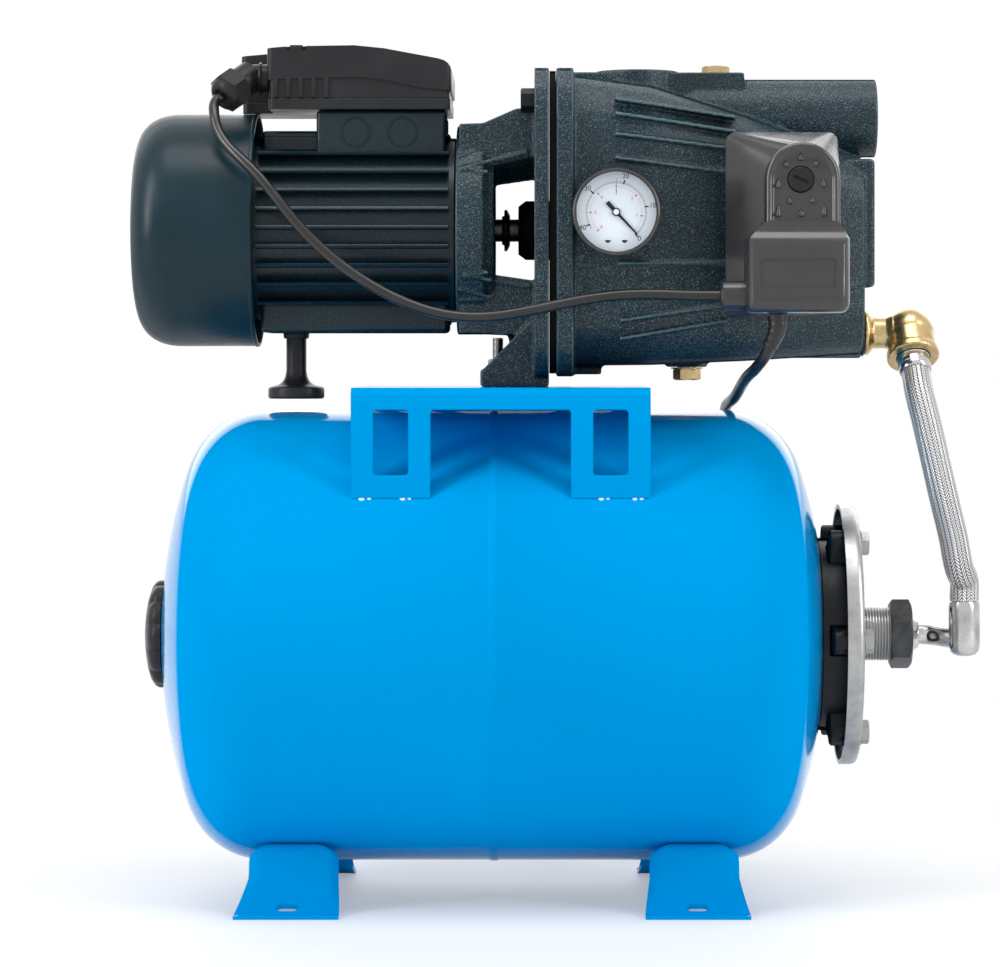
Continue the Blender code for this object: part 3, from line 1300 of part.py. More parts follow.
def rotor_shaft():
    """Shaft with the cage rotor on it, from the fan to the impeller's nut."""
    middle = motor_middle()
    half = STATOR_LENGTH / 2
    front = impeller_places()[2]
    seat = impeller_places()[0] - 0.0004
    step = SHAFT_RADIUS - 0.001
    profile = [
        (COVER_LEFT_X + 0.020, 0),
        (COVER_LEFT_X + 0.020, step),
        (rear_bearing_x() + 0.0005, step),
        (rear_bearing_x() + 0.0005, 0.0090),
        (middle - half, 0.0090),
        (middle - half, ROTOR_RADIUS),
        (middle + half, ROTOR_RADIUS),
        (middle + half, 0.0090),
        (RING_START_X + 0.0033, 0.0090),
        (RING_START_X + 0.0033, SHAFT_RADIUS),
        (seat, SHAFT_RADIUS),
        (seat, step),
        (front + 0.0060, step),
        (front + 0.0060, 0),
    ]
    shaft = place("rotor_shaft", turned(profile, 12), steel(), (0, 0, PUMP_Z))
    nut = [(front + GAP, 0.0085, 6), (front + 0.0050, 0.0085, 6)]
    join(shaft, rings(nut), (0, 0, PUMP_Z))


def bearings():
    front = RING_START_X + 0.0150 - GAP
    for name, start, end, bore in (
        ("front_bearing", front - BEARING_WIDTH, front, SHAFT_RADIUS + GAP),
        ("rear_bearing", rear_bearing_x() - BEARING_WIDTH, rear_bearing_x(), SHAFT_RADIUS - 0.001 + GAP),
    ):
        place(name, tube(start, end, BEARING_RADIUS, bore, 12), steel(), (0, 0, PUMP_Z))


def rear_end_shield():
    right = MOTOR_LEFT_X - GAP
    seat = rear_bearing_x() - BEARING_WIDTH - GAP
    profile = [
        (right, BEARING_RADIUS + GAP),
        (right, MOTOR_RADIUS - 0.003),
        (right - 0.006, MOTOR_RADIUS - 0.003),
        (right - 0.006, BEARING_RADIUS + 0.008),
        (seat - 0.003, BEARING_RADIUS + 0.004),
        (seat - 0.003, SHAFT_RADIUS + RUNNING_GAP),
        (seat, SHAFT_RADIUS + RUNNING_GAP),
        (seat, BEARING_RADIUS + GAP),
    ]
    shield = place("rear_end_shield", turned(profile, 20, ring=True), cast_paint(), (0, 0, PUMP_Z))
    reach = COVER_RADIUS - COVER_WALL - GAP
    for degrees in (45, 135, 225, 315):
        lug = box((right - 0.0055, MOTOR_RADIUS - 0.008, -0.006), (right - 0.0005, reach - 0.0004, 0.006))
        bmesh.ops.rotate(lug, verts=lug.verts, cent=(0, 0, 0), matrix=Matrix.Rotation(math.radians(degrees), 3, "X"))
        join(shield, lug, (0, 0, PUMP_Z))


def cooling_fan():
    left = COVER_LEFT_X + 0.022
    right = rear_bearing_x() - BEARING_WIDTH - 0.0075
    bore = SHAFT_RADIUS - 0.001 + GAP
    profile = [
        (left, bore),
        (left, 0.0130),
        (right - 0.0025, 0.0140),
        (right - 0.0025, FAN_RADIUS - 0.004),
        (right, FAN_RADIUS - 0.004),
        (right, bore),
    ]
    fan = place("cooling_fan", turned(profile, 14, ring=True), wet_plastic(), (0, 0, PUMP_Z))
    for index in range(FAN_BLADES):
        blade = box((left + 0.002, 0.0115, -0.0010), (right - 0.0012, FAN_RADIUS, 0.0010))
        turn = Matrix.Rotation(2 * math.pi * index / FAN_BLADES, 3, "X")
        bmesh.ops.rotate(blade, verts=blade.verts, cent=(0, 0, 0), matrix=turn)
        join(fan, blade, (0, 0, PUMP_Z))


def fan_cover():
    left, right, radius, wall = COVER_LEFT_X, COVER_RIGHT_X, COVER_RADIUS, COVER_WALL
    outside = [(left, 0), (left + 0.0006, 0.030), (left + 0.0030, 0.056), (left + 0.0080, 0.064)]
    outside += [(left + 0.0180, radius - 0.002), (left + 0.0270, radius), (right, radius)]
    inside = [(right, radius - wall), (left + 0.0270, radius - wall), (left + 0.0185, radius - 0.0022 - wall)]
    inside += [(left + 0.0092, 0.0632 - wall * 0.7), (left + 0.0046, 0.055), (left + wall + 0.0006, 0.030), (left + wall, 0)]
    cover = place("fan_cover", turned(outside + inside, 32), finish("satin petrol paint", (0.012, 0.035, 0.048), 0.32), (0, 0, PUMP_Z))
    for index in range(8):
        slot = box((left - 0.005, 0.018, -0.0022), (left + 0.007, 0.050, 0.0022))
        turn = Matrix.Rotation(2 * math.pi * (index + 0.5) / 8, 3, "X")
        bmesh.ops.rotate(slot, verts=slot.verts, cent=(0, 0, 0), matrix=turn)
        cut(cover, slot, (0, 0, PUMP_Z))


def flinger():
    profile = [(-0.0155, SHAFT_RADIUS + GAP), (-0.0155, 0.0095), (-0.0175, FLINGER_RADIUS), (-0.0190, FLINGER_RADIUS)]
    profile += [(-0.0185, 0.0095), (-0.0205, 0.0088), (-0.0205, SHAFT_RADIUS + GAP)]
    place("water_flinger", turned(profile, 14, ring=True), rubber(), (0, 0, PUMP_Z))


def motor_foot():
    bottom = TANK_AXIS_Z + TANK_RADIUS + PILLAR_BOTTOM_OVER_TANK
    top = PUMP_Z - MOTOR_RADIUS - GAP
    profile = [
        (bottom, 0),
        (bottom, PILLAR_DISC_RADIUS - 0.001),
        (bottom + 0.001, PILLAR_DISC_RADIUS),
        (bottom + 0.0062, PILLAR_DISC_RADIUS),
        (bottom + 0.0075, PILLAR_DISC_RADIUS - 0.0015),
        (bottom + 0.0095, 0.0115),
        (bottom + 0.0130, 0.0072),
        (bottom + 0.0180, PILLAR_RADIUS),
        (top - 0.003, PILLAR_RADIUS),
        (top - 0.003, PILLAR_RADIUS + 0.002),
        (top, PILLAR_RADIUS + 0.002),
        (top, 0),
    ]
    place("motor_foot", turned(profile, 12, UP), black_plastic(), (PILLAR_X, 0, 0))


# Terminal box
def box_plan(inset):
    """Plan outline of the terminal box: its rear half reaches further left than its front half."""
    left, right = BOX_FRONT_X
    half = BOX_HALF_DEPTH - inset
    return [
        (left + inset, -half),
        (right - inset, -half),
        (right - inset, half),
        (BOX_REAR_X + inset, half),
        (BOX_REAR_X + inset, -0.006 + inset),
        (left + inset, -0.006 + inset),
    ]


def lid_profile(inset, bottom_z):
    """Side view of the lid: a gently crowned top that falls to the right, over a wavy lower edge."""
    left, right = BOX_REAR_X + inset, BOX_FRONT_X[1] - inset
    top = bottom_z + LID_HEIGHT - inset
    crest = left + 0.55 * (right - left)
    profile = [(left, top - 0.0035), (crest - 0.040, top - 0.0006), (crest, top), (crest + 0.018, top - 0.0018)]
    profile += [(right - 0.003, top - 0.0092), (right, top - 0.0110)]
    return profile


def terminal_box():
    seat = PUMP_Z + PEDESTAL_HEIGHT + GAP
    base_top = seat + BOX_BASE_HEIGHT
    base = place("terminal_base", prism(box_plan(0.0008), "Z", seat, base_top), black_plastic())
    cut(base, prism(box_plan(0.0008 + BOX_WALL), "Z", seat + BOX_WALL, base_top + 0.01))
    lid_bottom = base_top + GAP
    wave = [(BOX_FRONT_X[1] + 0.01, lid_bottom + 0.0030), (BOX_FRONT_X[1] - 0.020, lid_bottom + 0.0060)]
    for back, rise in ((0.041, 0.0105), (0.055, 0.0122), (0.081, 0.0118)):
        wave.append((BOX_FRONT_X[1] - back, lid_bottom + rise))
    wave += [(BOX_REAR_X - 0.01, lid_bottom + 0.0095)]
    outer_top = [(BOX_REAR_X - 0.01, lid_bottom + 0.05), (BOX_FRONT_X[1] + 0.01, lid_bottom + 0.05)]
    lid = place("terminal_lid", prism(box_plan(0), "Z", lid_bottom + 0.0025, lid_bottom + 0.05), black_plastic())
    trim = prism(wave + outer_top, "Y", -0.1, 0.1)
    boolean(lid, "INTERSECT", trim)
    sides = lid_profile(0, lid_bottom)
    sides += [(BOX_FRONT_X[1], lid_bottom - 0.01), (BOX_REAR_X, lid_bottom - 0.01)]
    boolean(lid, "INTERSECT", prism(sides, "Y", -0.1, 0.1))
    join(lid, prism(box_plan(0.0012), "Z", lid_bottom, lid_bottom + 0.016))
    hollow = lid_profile(BOX_WALL, lid_bottom)
    hollow += [(BOX_FRONT_X[1] - 0.004, lid_bottom - 0.01), (BOX_REAR_X + 0.004, lid_bottom - 0.01)]
    inner = lofted_box_hollow(hollow)
    cut(lid, inner)
    for index in range(5):
        x = BOX_FRONT_X[0] + 0.004 + index * 0.0078
        join(lid, box((x, -BOX_HALF_DEPTH - 0.0004, lid_bottom), (x + 0.0026, -BOX_HALF_DEPTH + 0.003, lid_bottom + 0.012)))


def lofted_box_hollow(profile):
    """Room inside the lid: its side view pushed through between the front and rear walls."""
    half = BOX_HALF_DEPTH - 0.0012 - BOX_WALL
    kept = [(max(x, BOX_FRONT_X[0] + 0.004), z) for x, z in profile]
    return prism(kept, "Y", -half, half)


def capacitor():
    z = PUMP_Z + PEDESTAL_HEIGHT + GAP + BOX_WALL + 0.0125 + GAP
    left, right = BOX_FRONT_X[0] + 0.022, BOX_FRONT_X[1] - 0.029
    profile = [(left, 0), (left, 0.0105), (left + 0.002, 0.0125), (right - 0.002, 0.0125), (right, 0.0105), (right, 0)]
    place("run_capacitor", turned(profile, 14), finish("pale can", (0.6, 0.6, 0.58), 0.5), (0, 0.022, z))


def cable_gland():
    base = Vector((*GLAND_BASE, PUMP_Z + GLAND_HEIGHT))
    direction = Vector(GLAND_DIRECTION).normalized()
    flats = GLAND_FLATS / 2
    steps = [
        (-0.002, flats - 0.001, 0),
        (0.010, flats - 0.001, 0),
        (0.010, flats, 6),
        (0.0215, flats, 6),
        (GLAND_LENGTH, flats - 0.0030, 0),
    ]
    gland = place("cable_gland", rings(steps, direction, count=24), black_plastic(), base)
    wall = BOX_FRONT_X[0] - GAP
    join(gland, rod(base.x - 0.004, wall, 0.0085, 14), (0, base.y + 0.001, base.z))
    cut(gland, rod(GLAND_LENGTH - 0.006, GLAND_LENGTH + 0.01, LINK_RADIUS + 0.0006, 12, direction), base)


# Gauge
def gauge():
    depth = GAUGE_DEPTH
    radius = GAUGE_RADIUS
    spot = Vector((GAUGE_X, GAUGE_FRONT_Y + depth, PUMP_Z + GAUGE_HEIGHT))
    floor = depth - 0.0092
    inner = radius - GAUGE_RIM * 0.6
    case = [
        (-0.0100, 0),
        (-0.0100, 0.0065),
        (0, 0.0065),
        (0, radius - 0.004),
        (0.0020, radius - 0.0012),
        (depth - 0.0055, radius - 0.0012),
        (depth - 0.0050, radius),
        (depth - 0.0010, radius),
        (depth, radius - 0.0010),
        (depth, radius - GAUGE_RIM),
        (depth - 0.0016, radius - GAUGE_RIM),
        (depth - 0.0016, inner),
        (floor, inner),
        (floor, 0),
    ]
    body = place("gauge_case", turned(case, 24, FRONT), black_plastic(), spot)
    cut(body, rod(floor - 0.006, floor + 0.002, 0.0013, 8, FRONT), spot)
    dial = tube(floor + GAP, floor + GAP + 0.0008, inner - GAP, 0.0014, 20, FRONT)
    place("gauge_dial", dial, finish("dial white", (0.75, 0.80, 0.86), 0.5), spot)
    glass = rod(depth - 0.0016 - GAP - 0.0018, depth - 0.0016 - GAP, inner - GAP, 20, FRONT)
    place("gauge_glass", glass, finish("gauge glass", (0.9, 0.95, 1.0), 0.05, 0.0, 0.25), spot)
    needle_z = floor + GAP + 0.0008 + GAP
    hub = [(floor - 0.004, 0), (floor - 0.004, 0.0010), (needle_z, 0.0010), (needle_z, 0.0022)]
    hub += [(needle_z + 0.0018, 0.0022), (needle_z + 0.0018, 0)]
    needle = place("gauge_needle", turned(hub, 10, FRONT), black_plastic(), spot)
    tip, tail = radius * 0.80, -radius * 0.28
    outline = [(tail, -0.0016), (-0.0024, -0.0013), (tip * 0.5, -0.0006), (tip, -0.0002)]
    outline += [(a, -b) for a, b in reversed(outline)]
    pointer = prism(outline, "Y", -needle_z - 0.0011, -needle_z - 0.0005)
    turn = Matrix.Rotation(math.radians(-NEEDLE_DEGREES), 3, "Y")
    bmesh.ops.rotate(pointer, verts=pointer.verts, cent=(0, 0, 0), matrix=turn)
    join(needle, pointer, spot)


# Pressure switch
def cover_section(y, inset_left, inset_right, inset_low, inset_high, corner):
    low = (SWITCH_X[0] + inset_left, SWITCH_Z[0] + inset_low)
    high = (SWITCH_X[1] - inset_right, SWITCH_Z[1] - inset_high)
    return [(x, y, z) for x, z in rounded(low, high, corner)]


def arch_outline(middle_x, half_width, bottom_z, spring_z):
    """A doorway shape: straight sides under a half circle."""
    outline = [(middle_x - half_width, bottom_z), (middle_x + half_width, bottom_z)]
    for step in range(11):
        angle = math.pi * step / 10
        outline.append((middle_x + half_width * math.cos(angle), spring_z + half_width * math.sin(angle)))
    return outline


def switch_cover():
    sections = [
        cover_section(SWITCH_BACK_Y, 0, 0, 0, 0, 0.006),
        cover_section(SWITCH_BACK_Y - 0.012, 0, 0, 0, 0, 0.006),
        cover_section(SWITCH_FRONT_Y, 0.0160, 0.0015, 0.003, 0.0100, 0.008),
    ]
    cover = place("switch_cover", lofted(sections), black_plastic(), sharp_degrees=40)
    middle, half = ADJUSTER_X - 0.0005, 0.0215
    low_left, low_right = SWITCH_LOWER_X
    low_top = PUMP_Z + SWITCH_LOWER_TOP
    spring = SWITCH_Z[1] - 0.0110 - half
    join(cover, prism(arch_outline(middle, half, low_top, spring), "Y", SWITCH_PANEL_Y, SWITCH_FRONT_Y + 0.008))
    lower = []
    for y, shrink, corner in (
        (SWITCH_FRONT_Y + 0.012, 0.0, 0.006),
        (SWITCH_LOWER_Y + 0.005, 0.0, 0.006),
        (SWITCH_LOWER_Y, 0.0035, 0.004),
    ):
        outline = rounded((low_left + shrink, SWITCH_Z[0] - 0.0006 + shrink), (low_right - shrink, low_top - shrink), corner)
        lower.append([(x, y, z) for x, z in outline])
    join(cover, lofted(lower))
    shoulder = [(low_left, low_top - 0.006), (low_right, low_top - 0.006), (low_right, low_top + 0.0025)]
    shoulder += [(middle + half + 0.0005, low_top + 0.0105), (middle - half, low_top + 0.0105), (low_left, low_top + 0.0025)]
    join(cover, prism(shoulder, "Y", SWITCH_PANEL_Y - 0.0025, SWITCH_FRONT_Y + 0.010))
    cuff = rod(-SWITCH_CUFF_REACH, 0.012, SWITCH_CUFF_RADIUS, 14)
    join(cover, cuff, (SWITCH_X[0], SWITCH_CUFF_Y, SWITCH_CUFF_Z))
    wall = SWITCH_WALL
    hollow = [
        cover_section(SWITCH_BACK_Y + 0.01, wall, wall, wall, wall, 0.004),
        cover_section(SWITCH_BACK_Y - 0.012, wall, wall, wall, wall, 0.004),
        cover_section(SWITCH_FRONT_Y + 2 * wall, 0.0165, 0.0015 + wall, 0.003 + wall, 0.0125, 0.006),
    ]
    cut(cover, lofted(hollow))
    cut(cover, rod(0.10, -SWITCH_PANEL_Y + 0.01, ADJUSTER_RADIUS + 2 * GAP, 18, FRONT), (ADJUSTER_X, 0, ADJUSTER_Z))
    recess = rounded((low_left + 0.0088, low_top - 0.0275), (low_right - 0.0077, low_top - 0.0105), 0.002, 2)
    cut(cover, prism(recess, "Y", SWITCH_LOWER_Y - 0.01, SWITCH_LOWER_Y + 0.0008))


def switch_adjuster():
    spot = (ADJUSTER_X, 0, ADJUSTER_Z)
    front = -SWITCH_PANEL_Y + 0.0006
    profile = [(0.1105, 0), (0.1105, ADJUSTER_RADIUS + 0.002), (0.1125, ADJUSTER_RADIUS + 0.002)]
    profile += [(0.1125, ADJUSTER_RADIUS), (front, ADJUSTER_RADIUS), (front, 0)]
    plug = place("switch_adjuster", turned(profile, 18, FRONT), black_plastic(), spot)
    slot = box((-0.0048, -front - 0.005, -0.0009), (0.0048, -front + 0.0016, 0.0009))
    bmesh.ops.rotate(slot, verts=slot.verts, cent=(0, 0, 0), matrix=Matrix.Rotation(math.radians(25), 3, "Y"))
    cut(plug, slot, spot)


def switch_base():
    """Steel plate under the cover, with the round flange and the stub that screws into the pump."""
    inset = SWITCH_WALL + GAP
    plate = [
        cover_section(SWITCH_BACK_Y - 0.0030, inset, inset, inset, inset, 0.004),
        cover_section(SWITCH_BACK_Y, inset, inset, inset, inset, 0.004),
    ]
    base = place("switch_base", lofted(plate), zinc())
    middle = (sum(SWITCH_X) / 2, 0, PUMP_Z)
    join(base, rod(-SWITCH_BOSS_Y + GAP, -SWITCH_BACK_Y + 0.001, 0.0240, 20, FRONT), middle)
    join(base, rod(0.0580, -SWITCH_BACK_Y, 0.0060, 10, FRONT), middle)


# Cords
def link_route():
    """The link cable hangs from the gland, crosses the fins and the flange, and enters the switch's cuff."""
    out = Vector(GLAND_DIRECTION).normalized()
    mouth = Vector((*GLAND_BASE, PUMP_Z + GLAND_HEIGHT)) + out * (GLAND_LENGTH + GAP)
    cuff = Vector((SWITCH_X[0] - SWITCH_CUFF_REACH - GAP, SWITCH_CUFF_Y, SWITCH_CUFF_Z))
    hang = [
        mouth + out * 0.004,
        (-0.1955, -0.0560, 0.4845),
        (-0.1915, -0.0630, 0.4715),
        (-0.1825, -0.0700, 0.4605),
        (-0.1690, -0.0765, 0.4475),
        (-0.1447, -0.0830, 0.4180),
        (-0.1252, -0.0850, 0.3987),
        (-0.1029, -0.0870, 0.3820),
        (-0.0808, -0.0890, 0.3701),
        (-0.0561, -0.0920, 0.3619),
        (-0.0338, -0.0950, 0.3598),
        (0.0016, -0.0990, 0.3645),
        (0.0303, -0.1010, 0.3702),
        (0.0596, -0.1025, 0.3733),
        (0.0950, -0.1030, 0.3726),
        cuff - ALONG * 0.004,
    ]
    return [mouth, *smooth_route(hang, 0.0150), cuff]


def mains_route():
    """The mains cord drops from the switch, lies over the back of the tank and runs along the floor to its coil."""
    over = TANK_RADIUS + MAINS_RADIUS + 0.001
    start = Vector((0.1450, -0.1120, SWITCH_Z[0] - 0.0006 - GAP))
    points = [
        start - UP * 0.004,
        (0.1425, -0.1095, 0.3465),
        (0.1375, -0.1030, 0.3355),
        (0.1325, -0.0910, 0.3285),
        (0.1290, -0.0735, 0.3240),
        (0.1265, -0.0450, 0.3180),
        (0.1235, -0.0100, 0.3100),
    ]
    for degrees in (8, 22, 36, 50, 66, 82):
        angle = math.radians(degrees)
        points.append((0.1210, over * math.sin(angle), TANK_AXIS_Z + over * math.cos(angle)))
    points += [
        (0.1210, 0.1475, 0.1500),
        (0.1210, 0.1490, 0.1100),
        (0.1210, 0.1500, 0.0700),
        (0.1210, 0.1545, 0.0400),
        (0.1210, 0.1660, 0.0170),
        (0.1210, 0.1830, 0.0065),
        (0.1210, 0.2030, MAINS_RADIUS + GAP),
    ]
    return [start, *smooth_route(points, 0.0165)]


def cords():
    cord("link_cable", link_route(), LINK_RADIUS, rubber())
    cord("mains_cord", mains_route(), MAINS_RADIUS, rubber())
    turn = COIL_MEAN_RADIUS
    half = 2 * MAINS_RADIUS
    low, high = GAP, 4 * MAINS_RADIUS + GAP
    section = [(low, turn - half), (low, turn + half), (high, turn + half), (high, turn - half)]
    place("mains_coil", turned(section, 24, UP, ring=True), rubber(), (*COIL_CENTRE, 0))


def mains_plug():
    """A two-pin plug lying beside the coil, its strain relief towards the last turn."""
    body = 0.0178
    start = COIL_CENTRE[0] - 0.0296
    y = COIL_CENTRE[1] + COIL_MEAN_RADIUS
    profile = [
        (0, 0),
        (0, 0.0050),
        (0.0220, 0.0080),
        (0.0260, 0.0130),
        (0.0380, body),
        (0.0520, body),
        (0.0540, body - 0.0020),
        (0.0540, 0),
    ]
    plug = place("mains_plug", turned(profile, 14, -ALONG), rubber(), (start, y, body + GAP))
    for side in (-1, 1):
        join(plug, rod(0.052, 0.073, 0.0024, 8, -ALONG), (start, y + side * 0.0095, body + GAP))


def stand_on_origin():
    """Moves everything so that the set, without its cords, stands centred on the origin."""
    middle = (COVER_LEFT_X + SLEEVE_BOTTOM[0] + SLEEVE_RADIUS) / 2
    for obj in bpy.data.objects:
        obj.location.x -= middle


def main():
    clear_scene()
    tank_shell()
    tank_membrane()
    tank_foot("tank_foot_left", TANK_CENTRE_X - FOOT_SPACING / 2)
    tank_foot("tank_foot_right", TANK_CENTRE_X + FOOT_SPACING / 2)
    pump_cradle()
    neck_flange()
    counter_flange()
    tank_bolts()
    air_valve()
    union_nut()
    hose_tail()
    hose_sleeve()
    brass_elbow()
    braided_hose()
    pump_housing()
    pump_plugs()
    seal_plate()
    impeller()
    diffuser()
    ejector()
    lantern_bracket()
    foot_studs()
    motor_housing()
    stator()
    rotor_shaft()
    bearings()
    rear_end_shield()
    cooling_fan()
    fan_cover()
    flinger()
    motor_foot()
    terminal_box()
    capacitor()
    cable_gland()
    gauge()
    switch_cover()
    switch_adjuster()
    switch_base()
    cords()
    mains_plug()
    stand_on_origin()


main()
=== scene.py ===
"""Booster pump set in its studio: camera, cords, lights, and the dressed pieces over the fixed frame."""

import math

import bmesh
import bpy
import numpy as np
from mathutils import Matrix, Vector


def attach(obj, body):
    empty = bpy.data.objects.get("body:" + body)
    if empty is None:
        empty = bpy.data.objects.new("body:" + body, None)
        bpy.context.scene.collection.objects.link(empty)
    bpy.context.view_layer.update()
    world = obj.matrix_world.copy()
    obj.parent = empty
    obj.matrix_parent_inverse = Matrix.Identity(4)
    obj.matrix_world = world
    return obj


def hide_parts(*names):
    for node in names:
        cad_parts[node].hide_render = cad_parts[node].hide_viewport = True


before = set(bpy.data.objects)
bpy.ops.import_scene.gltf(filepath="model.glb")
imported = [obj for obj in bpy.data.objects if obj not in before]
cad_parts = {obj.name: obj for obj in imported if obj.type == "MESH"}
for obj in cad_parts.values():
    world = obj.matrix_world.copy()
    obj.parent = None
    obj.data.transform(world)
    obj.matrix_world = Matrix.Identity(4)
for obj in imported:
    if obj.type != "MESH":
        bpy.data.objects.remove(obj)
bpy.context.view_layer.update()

# Places in metres; X counts from the flange joint, which stands MIDDLE to the left of the frame's origin
MIDDLE = 0.013775
PUMP_Z = 0.4150
TANK_Z = 0.1630
TANK_R = 0.1400
TANK_LEFT = -0.2319
TANK_RIGHT = 0.1815
TANK_MIDDLE = -0.0252
CRADLE_TOP = 0.3175
OUTLET_Z = 0.3510
FLANGE_BACK = 0.1973
FLANGE_FRONT = 0.2000
UP = Vector((0, 0, 1))
ALONG = Vector((1, 0, 0))
FRONT = Vector((0, -1, 0))
ARCH_X = 0.1592
ELBOW_AXIS = Vector((0.08, -0.57, -0.82)).normalized()
ELBOW = Vector((0.2340, 0, OUTLET_Z))
SLEEVE = Vector((0.2668, -0.0140, 0.1503))
GLAND_AXIS = Vector((-0.62, -0.60, -0.50)).normalized()
GLAND = Vector((-0.1765, -0.0300, 0.5080))
SHIFT = Vector((MIDDLE, 0, 0))
CROWN = 0.330
HUG = TANK_R + 0.0003
BOLT_CIRCLE = 0.067
FIN_PITCH = 0.0115
STUD_X, STUD_Y = -0.0230, 0.032
AT_SHAFT = (0, 0, PUMP_Z)
AT_TANK = (0, 0, TANK_Z)
AT_OUTLET = (0, 0, OUTLET_Z)
AT_SWITCH = (0.14875, 0, PUMP_Z)
AT_ADJUSTER = (0.158, 0, 0.441)


# Camera and lights
def set_camera():
    """Looks level along +Y, with the picture's middle moved to where the photograph has it."""
    data = bpy.data.cameras.new("camera")
    data.lens = 136.05
    data.sensor_width = 36
    data.shift_x = -0.046
    data.shift_y = -0.1185
    data.clip_end = 60
    camera = placed("camera", data)
    camera.location = (0.0070 - MIDDLE, -2.362, 0.331)
    camera.rotation_euler = (math.radians(90), 0, 0)
    bpy.context.scene.camera = camera


def soft_box(name, location, target, width, height, power):
    """A rectangular lamp aimed at a point, hidden from the camera."""
    data = bpy.data.lights.new(name, "AREA")
    data.shape = "RECTANGLE"
    data.size = width
    data.size_y = height
    data.energy = power
    lamp = placed(name, data)
    lamp.location = location
    lamp.rotation_euler = (Vector(target) - Vector(location)).to_track_quat("-Z", "Y").to_euler()
    lamp.visible_camera = False


def set_world():
    """Even grey light on the object, and plain white behind it and in what it mirrors."""
    world = bpy.data.worlds.new("studio")
    bpy.context.scene.world = world
    world.use_nodes = True
    tree = world.node_tree
    tree.nodes.clear()
    light = wired(tree, "ShaderNodeBackground", Color=(1, 1, 1, 1), Strength=0.35)
    white = wired(tree, "ShaderNodeBackground", Color=(1, 1, 1, 1), Strength=1.0)
    ray = wired(tree, "ShaderNodeLightPath").outputs
    plain = maths(tree, "MAXIMUM", ray["Is Camera Ray"], ray["Is Transmission Ray"])
    plain = maths(tree, "MAXIMUM", plain, ray["Is Glossy Ray"])
    out = tree.nodes.new("ShaderNodeOutputWorld")
    tree.links.new(mixed(tree, plain, light, white), out.inputs["Surface"])


def set_floor():
    """A pale round floor that fades out into the white behind."""
    bm = bmesh.new()
    bmesh.ops.create_circle(bm, cap_ends=True, segments=96, radius=3.0)
    mesh = as_mesh("floor", bm)
    floor = placed("floor", mesh)
    made, tree, shader = start_finish("pale floor")
    shader.inputs["Base Color"].default_value = (0.93, 0.93, 0.93, 1)
    shader.inputs["Roughness"].default_value = 0.55
    shader.inputs["Specular IOR Level"].default_value = 0.25
    glow = wired(tree, "ShaderNodeEmission", Strength=1.0)
    distance = wired(tree, "ShaderNodeVectorMath", {"operation": "LENGTH"})
    tree.links.new(object_point(tree), distance.inputs[0])
    smooth = {"interpolation_type": "SMOOTHSTEP"}
    reach = distance.outputs["Value"]
    fade = wired(tree, "ShaderNodeMapRange", smooth, Value=reach, From_Min=0.25, From_Max=0.44, To_Min=0.30)
    ray = wired(tree, "ShaderNodeLightPath").outputs
    seen = maths(tree, "MULTIPLY", fade.outputs["Result"], ray["Is Camera Ray"])
    tree.links.new(mixed(tree, seen, shader, glow), tree.nodes["Material Output"].inputs["Surface"])
    mesh.materials.append(made)


# Shader helpers
def feed(tree, socket, value):
    """Links a socket to another one, or sets its own value."""
    if isinstance(value, bpy.types.NodeSocket):
        tree.links.new(value, socket)
    else:
        socket.default_value = value


def wired(tree, kind, settings=None, **inputs):
    """A new node with its settings, its values and its incoming links."""
    node = tree.nodes.new(kind)
    for key, value in (settings or {}).items():
        setattr(node, key, value)
    for key, value in inputs.items():
        feed(tree, node.inputs[key.replace("_", " ")], value)
    return node


def maths(tree, operation, first, second=0.0):
    """The result of one arithmetic step; each side is a number or a socket."""
    node = wired(tree, "ShaderNodeMath", {"operation": operation})
    feed(tree, node.inputs[0], first)
    feed(tree, node.inputs[1], second)
    return node.outputs[0]


def noise(tree, spot, scale, detail, roughness=0.5):
    """Soft noise from 0 to 1."""
    return wired(
        tree, "ShaderNodeTexNoise", Vector=spot, Scale=scale, Detail=detail, Roughness=roughness
    ).outputs["Fac"]


def object_point(tree):
    """The shaded point in the piece's own metres."""
    return wired(tree, "ShaderNodeTexCoord").outputs["Object"]


def mapped(tree, value, low, high, start=0.3, end=0.7):
    """A value carried from the range start to end over to the range low to high."""
    found = wired(
        tree, "ShaderNodeMapRange", Value=value, From_Min=start, From_Max=end, To_Min=low, To_Max=high
    )
    return found.outputs["Result"]


def mixed(tree, factor, first, second):
    """The first node's shader, blended into the second's by a factor."""
    mix = wired(tree, "ShaderNodeMixShader", Fac=factor)
    tree.links.new(first.outputs[0], mix.inputs[1])
    tree.links.new(second.outputs[0], mix.inputs[2])
    return mix.outputs[0]


def blend_colours(tree, amount, first, second):
    """Goes from the first colour to the second by an amount."""
    node = wired(tree, "ShaderNodeMix", {"data_type": "RGBA"}, Factor=amount)
    node.inputs[6].default_value = (*first, 1)
    node.inputs[7].default_value = (*second, 1)
    return node.outputs[2]


# Shader effects that several finishes share
def effect(name, *sizes):
    """A node group whose inputs are sizes of 1, with those inputs and the point that is shaded."""
    tree = bpy.data.node_groups.new(name, "ShaderNodeTree")
    for socket in sizes:
        made = tree.interface.new_socket(socket, in_out="INPUT", socket_type="NodeSocketFloat")
        made.default_value = 1.0
    return tree, tree.nodes.new("NodeGroupInput").outputs, object_point(tree)


def give_out(tree, **values):
    """Ends a node group with its named outputs."""
    for socket in values:
        tree.interface.new_socket(socket, in_out="OUTPUT", socket_type="NodeSocketFloat")
    ending = tree.nodes.new("NodeGroupOutput")
    for socket, value in values.items():
        tree.links.new(value, ending.inputs[socket])
    return tree


